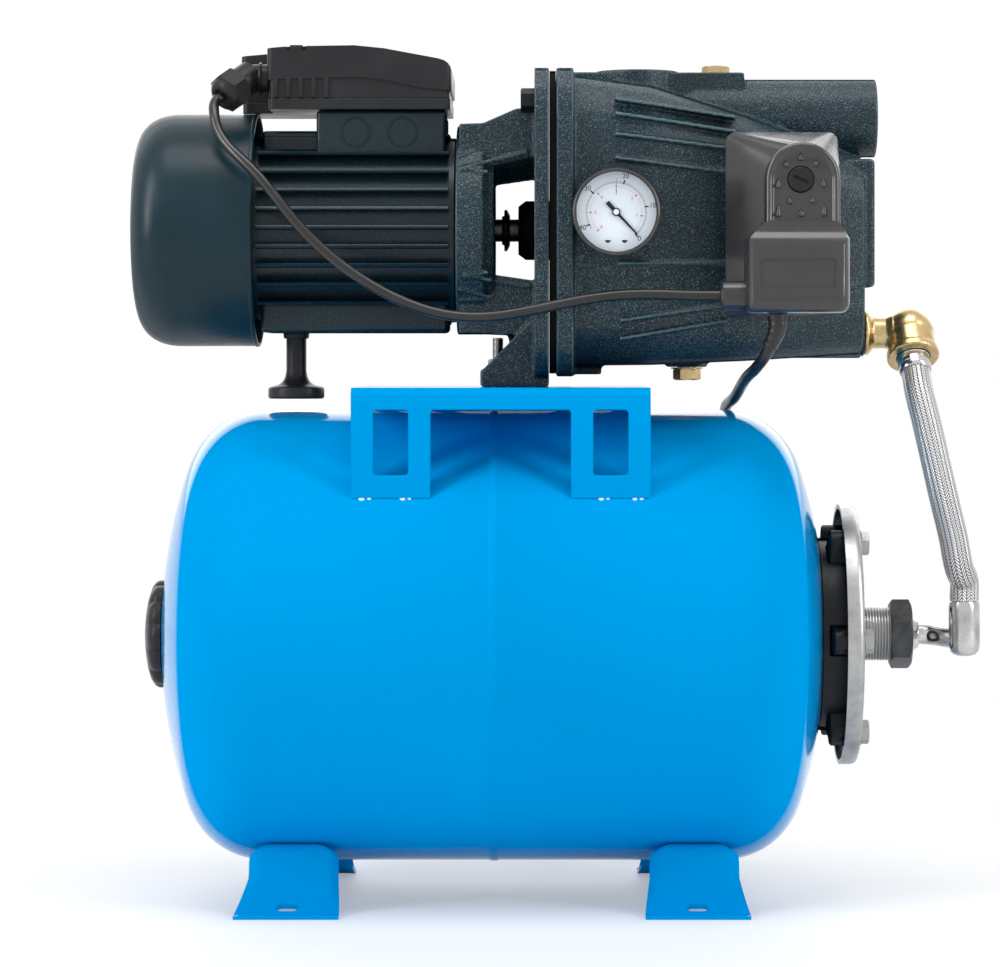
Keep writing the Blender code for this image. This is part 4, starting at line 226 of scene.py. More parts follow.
def cast_skin():
    """Lumpy sprayed surface of a casting: its height, and where bright specks of painted glint fall,
    standing for light caught by the hammered bumps.
    """
    tree, given, spot = effect("cast skin", "Lump Size", "Glint Size")
    lumps = noise(tree, spot, maths(tree, "MULTIPLY", given["Lump Size"], 420.0), 3.0, 0.62)
    fine = maths(tree, "MULTIPLY", given["Glint Size"], 1450.0)
    dots = wired(tree, "ShaderNodeTexVoronoi", Vector=spot, Scale=fine).outputs["Distance"]
    height = maths(tree, "SUBTRACT", lumps, maths(tree, "MULTIPLY", dots, 0.35))
    smooth = {"interpolation_type": "SMOOTHSTEP"}
    # The bright specks are painted glints: spots of light on the hammered bumps, laid into the paint's
    # colour.
    shine = noise(tree, spot, fine, 1.0)
    painted_glints = wired(tree, "ShaderNodeMapRange", smooth, Value=shine, From_Min=0.52, From_Max=0.76)
    return give_out(tree, Height=height, Flecks=painted_glints.outputs["Result"], Tone=noise(tree, spot, 9.0, 3.0))


def moulded_grain():
    """Fine spark-eroded grain of a moulding, and the faint cloudiness that handling leaves."""
    tree, given, spot = effect("moulded grain", "Grain")
    grain = noise(tree, spot, maths(tree, "MULTIPLY", given["Grain"], 1900.0), 2.0, 0.6)
    return give_out(tree, Height=grain, Haze=noise(tree, spot, 34.0, 4.0, 0.6))


def enamel_flow():
    """Orange peel of sprayed enamel, and a slow change of tone over large faces."""
    tree, given, spot = effect("enamel flow", "Peel")
    peel = noise(tree, spot, maths(tree, "MULTIPLY", given["Peel"], 260.0), 2.0)
    return give_out(tree, Height=peel, Tone=noise(tree, spot, 6.0, 3.0, 0.55))


def worked_metal():
    """Fine drawn lines and dull patches of bare or plated metal."""
    tree, given, spot = effect("worked metal", "Lines")
    stretch = wired(tree, "ShaderNodeMapping", Vector=spot, Scale=(1.0, 0.12, 0.12))
    lines = noise(tree, stretch.outputs[0], maths(tree, "MULTIPLY", given["Lines"], 1400.0), 2.0)
    return give_out(tree, Height=lines, Patches=noise(tree, spot, 85.0, 5.0, 0.65))


# Kinds of finish
def start_finish(name):
    """A new material with its node tree and its main shader."""
    made = bpy.data.materials.new(name)
    made.use_nodes = True
    return made, made.node_tree, made.node_tree.nodes["Principled BSDF"]


def bump(tree, shader, height, strength, distance):
    """Bends the shader's normal by a height."""
    node = wired(tree, "ShaderNodeBump", Height=height, Strength=strength, Distance=distance)
    tree.links.new(node.outputs["Normal"], shader.inputs["Normal"])


def rim_mirror(tree, shader, front, rim, start, end):
    """Sets how strongly a finish mirrors, facing the eye and at its rim."""
    facing = wired(tree, "ShaderNodeLayerWeight", Blend=0.5).outputs["Facing"]
    tree.links.new(mapped(tree, facing, front, rim, start, end), shader.inputs["Specular IOR Level"])


def dressed(tree, shader, colour, roughness):
    """Gives a shader its colour and its roughness."""
    tree.links.new(colour, shader.inputs["Base Color"])
    tree.links.new(roughness, shader.inputs["Roughness"])


def casting_paint(name, dark, light, roughness=0.36, depth=0.00035, lump=1.0, edge_wear_and_highlight=0.0):
    """Hammered paint on a casting, its lighter colour laid on as painted glints; the last argument sets how
    far its edges are turned to that colour, partly as rubbed paint and partly as a painted highlight.
    """
    made, tree, shader = start_finish(name)
    skin = wired(tree, "ShaderNodeGroup", {"node_tree": EFFECTS["cast skin"]}, Lump_Size=lump).outputs
    # Specks of the lighter colour are painted glints of light on the bumps.
    glint_and_edge_mask = maths(tree, "MULTIPLY", mapped(tree, skin["Tone"], 0.35, 1.0), skin["Flecks"])
    # Convex edges are painted lighter: partly rubbed paint, partly a painted highlight where light catches
    # them.
    if edge_wear_and_highlight:
        edges = wired(tree, "ShaderNodeNewGeometry").outputs["Pointiness"]
        glint_and_edge_mask = maths(tree, "MAXIMUM", glint_and_edge_mask, mapped(tree, edges, 0.0, edge_wear_and_highlight, 0.52, 0.60))
    dull = mapped(tree, skin["Height"], roughness - 0.06, roughness + 0.1)
    dressed(tree, shader, blend_colours(tree, glint_and_edge_mask, dark, light), dull)
    rim_mirror(tree, shader, 0.30, 0.0, 0.45, 0.75)
    bump(tree, shader, skin["Height"], 0.6, depth)
    return made


def moulded_plastic(name, colour, paler, roughness, grain=1.0, depth=0.00006, mirror=(0.20, 0.20)):
    """Plastic or rubber; mirror holds how strongly it mirrors facing the eye and at its rim."""
    made, tree, shader = start_finish(name)
    skin = wired(tree, "ShaderNodeGroup", {"node_tree": EFFECTS["moulded grain"]}, Grain=grain).outputs
    haze = mapped(tree, skin["Haze"], 0.0, 1.0)
    dull = mapped(tree, skin["Haze"], roughness - 0.05, roughness + 0.08)
    dressed(tree, shader, blend_colours(tree, haze, colour, paler), dull)
    rim_mirror(tree, shader, *mirror, 0.50, 0.72)
    bump(tree, shader, skin["Height"], 0.35, depth)
    return made


def enamel(name, colour, deeper, roughness=0.06):
    """Sprayed enamel with a clear mirror at its rim."""
    made, tree, shader = start_finish(name)
    skin = wired(tree, "ShaderNodeGroup", {"node_tree": EFFECTS["enamel flow"]}).outputs
    tone = mapped(tree, skin["Tone"], 0.0, 1.0)
    dull = mapped(tree, skin["Tone"], roughness, roughness + 0.06)
    dressed(tree, shader, blend_colours(tree, tone, colour, deeper), dull)
    rim_mirror(tree, shader, 0.0, 1.0, 0.70, 0.92)
    bump(tree, shader, skin["Height"], 0.06, 0.0002)
    return made


def bare_metal(name, colour, dull, roughness):
    """Bare or plated metal, duller in patches."""
    made, tree, shader = start_finish(name)
    skin = wired(tree, "ShaderNodeGroup", {"node_tree": EFFECTS["worked metal"]}).outputs
    patches = mapped(tree, skin["Patches"], 0.0, 1.0)
    rough = mapped(tree, skin["Patches"], roughness - 0.05, roughness + 0.12)
    dressed(tree, shader, blend_colours(tree, patches, colour, dull), rough)
    shader.inputs["Metallic"].default_value = 1.0
    bump(tree, shader, skin["Height"], 0.4, 0.00003)
    return made


def clear_glass(name):
    """Thin clear glass with faint smudges; it hardly bends the light, so that the dial stays in place."""
    made, tree, shader = start_finish(name)
    shader.inputs["Base Color"].default_value = (0.98, 0.99, 1.0, 1)
    shader.inputs["IOR"].default_value = 1.05
    shader.inputs["Transmission Weight"].default_value = 1.0
    smudge = noise(tree, object_point(tree), 60.0, 3.0)
    tree.links.new(mapped(tree, smudge, 0.01, 0.05), shader.inputs["Roughness"])
    return made


def braided_wire(name):
    """Columns of short slanted wires, leaning to and fro, from the UV map: U round, V along in turns."""
    made, tree, shader = start_finish(name)
    uv = wired(tree, "ShaderNodeUVMap", {"uv_map": "UVMap"}).outputs[0]
    split = wired(tree, "ShaderNodeSeparateXYZ", Vector=uv)
    column = maths(tree, "MULTIPLY", split.outputs["X"], 20.0)
    across = maths(tree, "SUBTRACT", maths(tree, "FRACT", column), 0.5)
    odd = maths(tree, "MODULO", maths(tree, "FLOOR", column), 2.0)
    lean = maths(tree, "SUBTRACT", maths(tree, "MULTIPLY", odd, 2.0), 1.0)
    slant = maths(tree, "MULTIPLY", maths(tree, "MULTIPLY", across, lean), 1.5)
    phase = maths(tree, "ADD", maths(tree, "MULTIPLY", split.outputs["Y"], 31.0), slant)
    wire = maths(tree, "ABSOLUTE", maths(tree, "SINE", maths(tree, "MULTIPLY", phase, math.pi)))
    aside = maths(tree, "MULTIPLY", maths(tree, "ABSOLUTE", across), 2.0)
    height = maths(tree, "MULTIPLY", wire, maths(tree, "SUBTRACT", 1.0, maths(tree, "POWER", aside, 6.0)))
    # The colour runs from near black in the gaps between the wires to pale on their crests: painted shade
    # between the wires.
    painted_gap_shade = mapped(tree, height, 0.0, 1.0, 0.25, 0.80)
    colour = blend_colours(tree, painted_gap_shade, (0.045, 0.045, 0.045), (0.80, 0.80, 0.80))
    dressed(tree, shader, colour, mapped(tree, height, 0.5, 0.26, 0.0, 1.0))
    shader.inputs["Metallic"].default_value = 0.9
    bump(tree, shader, height, 0.8, 0.0005)
    return made


# Modelling helpers
def placed(name, data):
    """A new object in the scene."""
    made = bpy.data.objects.new(name, data)
    bpy.context.scene.collection.objects.link(made)
    return made


def as_mesh(name, bm):
    """The bmesh as a mesh, and the bmesh gone."""
    mesh = bpy.data.meshes.new(name)
    bm.to_mesh(mesh)
    bm.free()
    return mesh


def soften(target, width, segments, angle):
    """Rounds the edges that turn by more than an angle."""
    soft = target.modifiers.new("soft edges", "BEVEL")
    soft.width = width
    soft.segments = segments
    soft.limit_method = "ANGLE"
    soft.angle_limit = math.radians(angle)


def finish_piece(name, bm, material, body, nodes=(), sharp=38, bevel=0.0, segments=2):
    """Makes the bmesh a piece in its place, smooth but for its sharp edges, that stands for CAD nodes."""
    bmesh.ops.remove_doubles(bm, verts=bm.verts, dist=1e-6)
    bmesh.ops.recalc_face_normals(bm, faces=bm.faces)
    bmesh.ops.translate(bm, verts=bm.verts, vec=-SHIFT)
    mesh = as_mesh(name, bm)
    mesh.materials.append(material)
    mesh.shade_smooth()
    mesh.set_sharp_from_angle(angle=math.radians(sharp))
    piece = placed(name, mesh)
    if bevel:
        soften(piece, bevel, segments, 32)
    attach(piece, body)
    if nodes:
        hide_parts(*nodes)
    return piece


def moved(bm, location):
    """The shape, shifted."""
    bmesh.ops.translate(bm, verts=bm.verts, vec=location)
    return bm


def aimed(bm, direction):
    """The shape with its X axis turned to a direction."""
    turn = ALONG.rotation_difference(Vector(direction)).to_matrix()
    bmesh.ops.rotate(bm, verts=bm.verts, cent=(0, 0, 0), matrix=turn)
    return bm


def turned(profile, segments=64, direction=ALONG, location=(0, 0, 0), ring=False):
    """A shape turned round a line; the profile is (distance along it, radius)."""
    bm = bmesh.new()
    verts = [bm.verts.new((along, 0, radius)) for along, radius in profile]
    edges = [bm.edges.new(pair) for pair in zip(verts, verts[1:])]
    if ring:
        edges.append(bm.edges.new((verts[-1], verts[0])))
    bmesh.ops.spin(
        bm, geom=verts + edges, cent=(0, 0, 0), axis=(1, 0, 0), angle=2 * math.pi, steps=segments,
        use_merge=True
    )
    bmesh.ops.remove_doubles(bm, verts=bm.verts, dist=1e-6)
    return moved(aimed(bm, direction), location)


def rod(start, end, radius, segments=32, direction=ALONG, location=(0, 0, 0), soft=0.0):
    """A round bar; soft chamfers its two edges."""
    profile = [(start, 0), (start, radius), (end, radius), (end, 0)]
    if soft:
        profile[1:3] = [
            (start, radius - soft), (start + soft, radius), (end - soft, radius), (end, radius - soft)
        ]
    return turned(profile, segments, direction, location)


def box(low, high, bevel=0.0, segments=2):
    """A block between two corners, with bevelled edges if asked."""
    bm = bmesh.new()
    low, high = Vector(low), Vector(high)
    bmesh.ops.create_cube(
        bm, size=1, matrix=Matrix.Translation((low + high) / 2) @ Matrix.Diagonal((*(high - low), 1))
    )
    if bevel:
        bmesh.ops.bevel(
            bm, geom=bm.edges, offset=bevel, segments=segments, profile=0.5, affect="EDGES", material=-1
        )
    return bm


def prism(outline, across, start, end):
    """An outline drawn in a plane and extruded across it, along X, Y or Z."""
    spots = {
        "X": lambda a, b, d: (d, a, b), "Y": lambda a, b, d: (a, d, b), "Z": lambda a, b, d: (a, b, d)
    }[across]
    bm = bmesh.new()
    face = bm.faces.new([bm.verts.new(spots(a, b, start)) for a, b in outline])
    grown = bmesh.ops.extrude_face_region(bm, geom=[face])["geom"]
    shift = Vector(spots(0, 0, end - start))
    bmesh.ops.translate(bm, verts=[v for v in grown if isinstance(v, bmesh.types.BMVert)], vec=shift)
    return bm


def lofted(sections, closed=False):
    """A skin bridged over sections with equal numbers of points, each in its own place."""
    bm = bmesh.new()
    loops = []
    for section in sections:
        verts = [bm.verts.new(point) for point in section]
        loops.append([bm.edges.new((verts[i - 1], verts[i])) for i in range(len(verts))])
    if not closed:
        bmesh.ops.contextual_create(bm, geom=loops[0])
        bmesh.ops.contextual_create(bm, geom=loops[-1])
    pairs = list(zip(loops, loops[1:]))
    if closed:
        pairs.append((loops[-1], loops[0]))
    for first, second in pairs:
        bmesh.ops.bridge_loops(bm, edges=first + second)
    return bm


def hexagon(start, end, flats, direction=ALONG, chamfer=0.0006, inner=0.0, tilt=0.0):
    """A hexagon nut or head, its outer corners turned off at both ends."""
    body = as_object(spun(rod(start - 0.002, end + 0.002, flats / math.sqrt(3), 6), tilt))
    reach = flats / math.sqrt(3) * 1.03
    slope = chamfer * 1.2
    dish = [(start, 0), (start, flats / 2 - 0.0002), (start + slope, reach), (end - slope, reach)]
    dish += [(end, flats / 2 - 0.0002), (end, 0)]
    combine(body, "INTERSECT", turned(dish, 48))
    if inner:
        combine(body, "DIFFERENCE", rod(start - 0.01, end + 0.01, inner, 40))
    return aimed(taken(body), direction)


def as_object(bm):
    """A passing object for the modifiers that bmesh has no operator for."""
    bmesh.ops.recalc_face_normals(bm, faces=bm.faces)
    return placed("blank", as_mesh("blank", bm))


def combine(target, operation, *shapes):
    """Joins shapes to an object, cuts them away or keeps what they share, one after another."""
    for shape in shapes:
        tool = as_object(shape)
        modifier = target.modifiers.new("work", "BOOLEAN")
        modifier.operation = operation
        modifier.object = tool
        modifier.solver = "EXACT"
        settle(target)
        bpy.data.objects.remove(tool, do_unlink=True)


def settle(target):
    """Applies an object's modifiers to its mesh."""
    view = bpy.context.evaluated_depsgraph_get()
    mesh = bpy.data.meshes.new_from_object(target.evaluated_get(view), depsgraph=view)
    target.modifiers.clear()
    target.data = mesh


def taken(target):
    """The object's mesh as a bmesh, and the object gone."""
    settle(target)
    bm = bmesh.new()
    bm.from_mesh(target.data)
    bpy.data.objects.remove(target, do_unlink=True)
    return bm


def together(*parts):
    """Several shapes in one bmesh."""
    whole = parts[0]
    for part in parts[1:]:
        mesh = as_mesh("part", part)
        whole.from_mesh(mesh)
        bpy.data.meshes.remove(mesh)
    return whole


def cast(shapes, voxel, rounds, cuts, keep=1.0):
    """Melts overlapping shapes into one casting with filleted corners, then cuts its bores and faces."""
    body = as_object(together(*shapes))
    melt = body.modifiers.new("melt", "REMESH")
    melt.mode = "VOXEL"
    melt.voxel_size = voxel
    settle(body)
    ease = body.modifiers.new("ease", "SMOOTH")
    ease.factor = 0.5
    ease.iterations = rounds
    settle(body)
    if keep < 1:
        fewer = body.modifiers.new("fewer", "DECIMATE")
        fewer.ratio = keep
        settle(body)
    combine(body, "DIFFERENCE", *cuts)
    return taken(body)


def rounded(low, high, radius, steps=8):
    """Outline of a rectangle with round corners, from its low corner to its high corner."""
    points = []
    corners = ((high[0], high[1], 0), (low[0], high[1], 90), (low[0], low[1], 180), (high[0], low[1], 270))
    for corner_a, corner_b, start in corners:
        centre_a = corner_a - math.copysign(radius, corner_a - (low[0] + high[0]) / 2)
        centre_b = corner_b - math.copysign(radius, corner_b - (low[1] + high[1]) / 2)
        for step in range(steps + 1):
            angle = math.radians(start + 90 * step / steps)
            points.append((centre_a + radius * math.cos(angle), centre_b + radius * math.sin(angle)))
    return points


def smooth_route(points, spacing):
    """Points about a spacing apart on the natural cubic curve through a route's own points."""
    route = np.array(points, float)
    at = np.concatenate([[0], np.cumsum(np.linalg.norm(np.diff(route, axis=0), axis=1))])
    step = np.diff(at)
    count = len(route)
    matrix = np.eye(count)
    right = np.zeros((count, 3))
    for i in range(1, count - 1):
        matrix[i, i - 1 : i + 2] = (step[i - 1], 2 * (step[i - 1] + step[i]), step[i])
        right[i] = 6 * ((route[i + 1] - route[i]) / step[i] - (route[i] - route[i - 1]) / step[i - 1])
    bend = np.linalg.solve(matrix, right)
    found = []
    for where in np.linspace(0, at[-1], max(3, round(at[-1] / spacing) + 1)):
        i = min(int(np.searchsorted(at, where, side="right")) - 1, count - 2)
        before, after, width = where - at[i], at[i + 1] - where, step[i]
        found.append(
            Vector(
                (bend[i] * after**3 + bend[i + 1] * before**3) / (6 * width)
                + (route[i] / width - bend[i] * width / 6) * after
                + (route[i + 1] / width - bend[i + 1] * width / 6) * before
            )
        )
    return found


def route_length(points):
    """Length of a route as straight steps."""
    return sum((Vector(b) - Vector(a)).length for a, b in zip(points, points[1:]))


def tube_along(points, radii, sides):
    """A round bar along a route, with a radius at each point, and a UV map in turns round and along it."""
    points = [Vector(p) for p in points]
    bm = bmesh.new()
    layer = bm.loops.layers.uv.new("UVMap")
    side = None
    loops = []
    reach = [0.0]
    for i, point in enumerate(points):
        ahead = (points[min(i + 1, len(points) - 1)] - points[max(i - 1, 0)]).normalized()
        side = (ahead.orthogonal() if side is None else side - ahead * side.dot(ahead)).normalized()
        frame_here = Matrix((side, ahead.cross(side), ahead)).transposed()
        ring = bmesh.ops.create_circle(bm, segments=sides, radius=radii[i])["verts"]
        bmesh.ops.transform(bm, verts=ring, matrix=Matrix.Translation(point) @ frame_here.to_4x4())
        loops.append(ring)
        if i:
            reach.append(reach[-1] + (point - points[i - 1]).length / (2 * math.pi * radii[i]))
    place = {}
    for row, ring in enumerate(loops):
        for column, vert in enumerate(ring):
            place[vert] = (column / sides, reach[row])
    for first, second in zip(loops, loops[1:]):
        edges = [e for e in bm.edges if any(set(e.verts) <= ring for ring in (set(first), set(second)))]
        bmesh.ops.bridge_loops(bm, edges=edges)
    for end in (loops[0], loops[-1]):
        bm.faces.new(end)
    for face in bm.faces:
        columns = [place[loop.vert][0] for loop in face.loops]
        wraps = max(columns) - min(columns) > 0.5
        for loop in face.loops:
            u, v = place[loop.vert]
            loop[layer].uv = (u + 1 if wraps and u < 0.5 else u, v)
    return bm


def around(radius, degrees):
    """Y and Z at an angle round the X axis, counted from the front over the top."""
    angle = math.radians(degrees)
    return -radius * math.cos(angle), radius * math.sin(angle)


def spun(bm, degrees, axis="X"):
    """The shape, turned round an axis."""
    turn = Matrix.Rotation(math.radians(degrees), 3, axis)
    bmesh.ops.rotate(bm, verts=bm.verts, cent=(0, 0, 0), matrix=turn)
    return bm


def carved(bm, *tools, joined=()):
    """A shape with others joined to it and cut out of it."""
    body = as_object(bm)
    combine(body, "UNION", *joined)
    combine(body, "DIFFERENCE", *tools)
    return taken(body)


# Finishes
EFFECTS = {
    "cast skin": cast_skin(),
    "moulded grain": moulded_grain(),
    "enamel flow": enamel_flow(),
    "worked metal": worked_metal(),
}
# Its lighter colour is that of painted glints, and on the edges of painted highlight and wear.
HAMMERED = casting_paint(
    "hammered petrol paint", (0.0065, 0.0180, 0.0255), (0.19, 0.33, 0.38), depth=0.0006, edge_wear_and_highlight=0.8
)
MOTOR_PAINT = casting_paint(
    "motor paint", (0.0050, 0.0160, 0.0230), (0.026, 0.062, 0.080), 0.34, 0.00022, 1.3
)
COVER_PAINT = moulded_plastic(
    "fan cover paint", (0.0045, 0.0200, 0.0280), (0.0060, 0.0255, 0.0350), 0.30, 0.6, mirror=(0.22, 0.05)
)
TANK_BLUE = enamel("tank enamel", (0.0, 0.306, 0.716), (0.0, 0.295, 0.695))
# Near black: the neck ring's dark paint deepened with painted shade, where the tank's neck lies in shadow.
NECK_PAINT_AND_SHADE = casting_paint("neck paint and painted shade", (0.0040, 0.0050, 0.0070), (0.010, 0.014, 0.018), 0.40, 0.0002)
BLACK_PLASTIC = moulded_plastic("black plastic", (0.0155, 0.0160, 0.0175), (0.023, 0.024, 0.026), 0.34)
GLOSS_PLASTIC = moulded_plastic(
    "glossy black plastic", (0.0280, 0.0283, 0.0300), (0.034, 0.034, 0.036), 0.17, 0.5, 0.00003, (0.60, 2.4)
)
RUBBER = moulded_plastic(
    "black rubber", (0.0080, 0.0078, 0.0080), (0.012, 0.012, 0.012), 0.27, mirror=(0.50, 0.50)
)
PALE_PLASTIC = moulded_plastic("pale plastic", (0.55, 0.55, 0.52), (0.62, 0.62, 0.60), 0.5)
DIAL_WHITE = moulded_plastic("dial white", (0.70, 0.76, 0.82), (0.76, 0.81, 0.86), 0.5)
DIAL_BLACK = moulded_plastic("dial black", (0.015, 0.016, 0.018), (0.02, 0.02, 0.022), 0.5)
DIAL_RED = moulded_plastic("dial red", (0.52, 0.03, 0.03), (0.60, 0.05, 0.04), 0.5)
# Near black with almost no mirror: the seal plate's own black, deepened as painted shade in the recessed
# gap between the flanges.
SEAL_BLACK_IN_SHADE = moulded_plastic(
    "seal plate black in painted shade", (0.0030, 0.0032, 0.0035), (0.005, 0.005, 0.006), 0.6, mirror=(0.05, 0.0)
)
ZINC = bare_metal("zinc plated steel", (0.47, 0.47, 0.46), (0.31, 0.32, 0.32), 0.30)
CHROME = bare_metal("chromed steel", (0.62, 0.62, 0.62), (0.36, 0.36, 0.36), 0.14)
DARK_STEEL = bare_metal("dark nut steel", (0.085, 0.088, 0.090), (0.040, 0.042, 0.044), 0.36)
BRASS = bare_metal("brass", (0.66, 0.50, 0.27), (0.44, 0.32, 0.15), 0.26)
COPPER = bare_metal("copper winding", (0.70, 0.30, 0.14), (0.50, 0.20, 0.09), 0.35)
CHIPPED = enamel("chipped enamel", (0.45, 0.66, 0.84), (0.80, 0.86, 0.92), 0.4)
GLASS = clear_glass("gauge glass")
BRAID = braided_wire("steel wire braid")


# Pressure tank
def bezier(start, control, end, steps):
    """Points of a quadratic curve after its start."""
    points = []
    for step in range(1, steps + 1):
        t = step / steps
        spot = ((1 - t) ** 2 * a + 2 * t * (1 - t) * b + t * t * c for a, b, c in zip(start, control, end))
        points.append(tuple(spot))
    return points


def curved(points, control, end, steps):
    """The points, carried on by a curve from the last one."""
    return points + bezier(points[-1], control, end, steps)


def dome(apex, side, shrink, start_radius, steps=14):
    """An end from its opening to the cylinder; side is 1 for the left end."""
    crown, knuckle = CROWN - shrink, 0.050 - shrink
    rise = TANK_R - shrink - knuckle
    crown_x = apex + side * (shrink + crown)
    meet = math.asin(rise / (crown - knuckle))
    knuckle_x = crown_x - side * (crown - knuckle) * math.cos(meet)
    start = math.asin(start_radius / crown)
    points = []
    for step in range(steps):
        angle = start + (meet - start) * step / (steps - 1)
        points.append((crown_x - side * crown * math.cos(angle), crown * math.sin(angle)))
    for step in range(1, steps + 1):
        angle = meet + (math.pi / 2 - meet) * step / steps
        points.append((knuckle_x - side * knuckle * math.cos(angle), rise + knuckle * math.sin(angle)))
    return points


def crown_offset(radius):
    """How far the tank's end stands back at a radius."""
    return CROWN - math.sqrt(CROWN**2 - radius**2)


TACKS = (
    (-0.103, 0.0026), (-0.0985, 0.0018), (-0.0785, 0.0024), (-0.0745, 0.0016), (0.0400, 0.0024),
    (0.0440, 0.0016), (0.0600, 0.0022), (0.0640, 0.0018)
)


def pressure_tank():
    bead = [
        (TANK_MIDDLE + 0.003 * math.cos(a), TANK_R + 0.0007 * math.sin(a))
        for a in np.linspace(math.pi, 0, 9)
    ]
    outside = dome(TANK_LEFT, 1, 0, 0.0055) + bead + dome(TANK_RIGHT, -1, 0, 0.0455)[::-1]
    inside = dome(TANK_RIGHT, -1, 0.0016, 0.0455, 6) + dome(TANK_LEFT, 1, 0.0016, 0.0055, 6)[::-1]
    bm = turned(outside + inside, 160, location=AT_TANK, ring=True)
    finish_piece("tank_body", bm, TANK_BLUE, "set", ["tank_shell"], 50)
    spots = []
    normal = Vector((0, -0.7745, 0.6326))
    for x, size in TACKS:
        spot = [(-0.0008, 0), (-0.0008, size), (0.0002, size * 0.7), (0.0006, 0)]
        spots.append(turned(spot, 12, normal, Vector((x, 0, TANK_Z)) + normal * TANK_R))
    finish_piece("tack_marks", together(*spots), CHIPPED, "set")


def foot_section(y, z, run, rise, narrow, lean):
    """The pressed sheet across one place of the foot, with lips that bend away from its face."""
    size = math.hypot(run, rise)
    down = Vector((0, rise / size, -run / size))
    low = 1 - min(1, max(0, (z - 0.0025) / 0.020))
    half = (0.0495 + low * 0.0085) / 2 - narrow
    drop = 0.0060 * (1 - low)
    turn = math.radians(62) * (1 - low)
    bend, sheet = 0.0045, 0.0025
    outer, inner = [], []
    for side in (-1, 1):
        arc = []
        for step in range(6):
            angle = turn * step / 5
            reach = half - bend + bend * math.sin(angle) + step * 0.0002
            arc.append((side * reach, bend * (1 - math.cos(angle)), angle))
        arc.append((side * (half + 0.0025), drop + 0.0002, turn))
        outer += arc[::-1] if side < 0 else arc
    for across, depth, angle in outer:
        shift = math.copysign(math.sin(angle), across) * sheet
        inner.append((across - shift, depth + sheet * math.cos(angle), angle))
    base = Vector((lean * (1 - low), y, z))
    return [base + Vector((across, 0, 0)) + down * depth for across, depth, _ in outer + inner[::-1]]


def tank_foot(name, node, centre_x, lean):
    wrap = math.radians(27)
    stations = [(HUG * math.sin(a), TANK_Z - HUG * math.cos(a)) for a in np.linspace(0, wrap, 8)]
    start = stations[-1]
    shoulder = (start[0] + 0.0115, start[1] - 0.0045)
    stations += bezier(start, (start[0] + 0.0105, start[1] + 0.0072), shoulder, 8)
    toe = (0.1000, 0.0025)
    stations += bezier(shoulder, (shoulder[0] + 0.004, 0.0085), toe, 16)
    stations.append((0.1080, 0.0025))
    crest = max(range(len(stations)), key=lambda place: stations[place][1])
    rows = []
    for index, (y, z) in enumerate(stations):
        before, after = stations[max(index - 1, 0)], stations[min(index + 1, len(stations) - 1)]
        run, rise = (1.0, 0.0) if index == 0 else (after[0] - before[0], after[1] - before[1])
        fallen = min(1, max(0, (stations[crest][1] - z) / 0.0105)) if index > crest else 0.0
        narrow = 0.0065 * (1 - math.sqrt(1 - (1 - fallen) ** 2))
        rows.append(foot_section(y, z, run, rise, narrow, lean))
    mirrored = [[Vector((p.x, -p.y, p.z)) for p in row] for row in rows[:0:-1]]
    bm = lofted(mirrored + rows)
    holes = []
    for side in (-1, 1):
        slot = prism(rounded((-0.0065, -0.0032), (0.0065, 0.0032), 0.0031, 6), "Z", -0.01, 0.02)
        holes.append(moved(slot, (0, side * 0.0935, 0)))
    bm = moved(carved(bm, *holes), (centre_x, 0, 0))
    finish_piece(name, bm, TANK_BLUE, "set", [node], 40, 0.0004)


def cradle():
    half, sheet, bend = 0.109, 0.003, 0.005
    left, right = -0.0200 - 0.0895, -0.0200 + 0.0895
    bottom = TANK_Z + math.sqrt(HUG**2 - half**2) - 0.001
    arc = [math.radians(a) for a in range(0, 91, 10)]
    outline = [(half, bottom)]
    outline += [(half - bend + bend * math.cos(a), CRADLE_TOP - bend + bend * math.sin(a)) for a in arc]
    outline += [(-y, z) for y, z in reversed(outline)]
    inner = bend - sheet
    outline.append((-half + sheet, bottom))
    outline += [(-half + bend - inner * math.cos(a), CRADLE_TOP - bend + inner * math.sin(a)) for a in arc]
    outline += [(half - bend + inner * math.sin(a), CRADLE_TOP - bend + inner * math.cos(a)) for a in arc]
    outline.append((half - sheet, bottom))
    band = CRADLE_TOP - 0.0133
    through = half + 0.01
    gap = rounded((left + 0.0476, band - 0.1), (right - 0.0476, band), 0.002, 5)
    tools = [prism(gap, "Y", -through, through)]
    for middle in (left + 0.0238, right - 0.0476 + 0.0238):
        hole = rounded((middle - 0.0105, band - 0.039), (middle + 0.0105, band), 0.0022, 5)
        tools.append(prism(hole, "Y", -through, through))
    tools.append(rod(left - 0.01, right + 0.01, HUG, 160, location=AT_TANK))
    for side in (-1, 1):
        tools.append(rod(-0.01, 0.01, 0.0036, 16, UP, (STUD_X, side * STUD_Y, CRADLE_TOP)))
    bm = carved(prism(outline, "X", left, right), *tools)
    finish_piece("cradle", bm, TANK_BLUE, "set", ["pump_cradle"], 35, 0.0005)


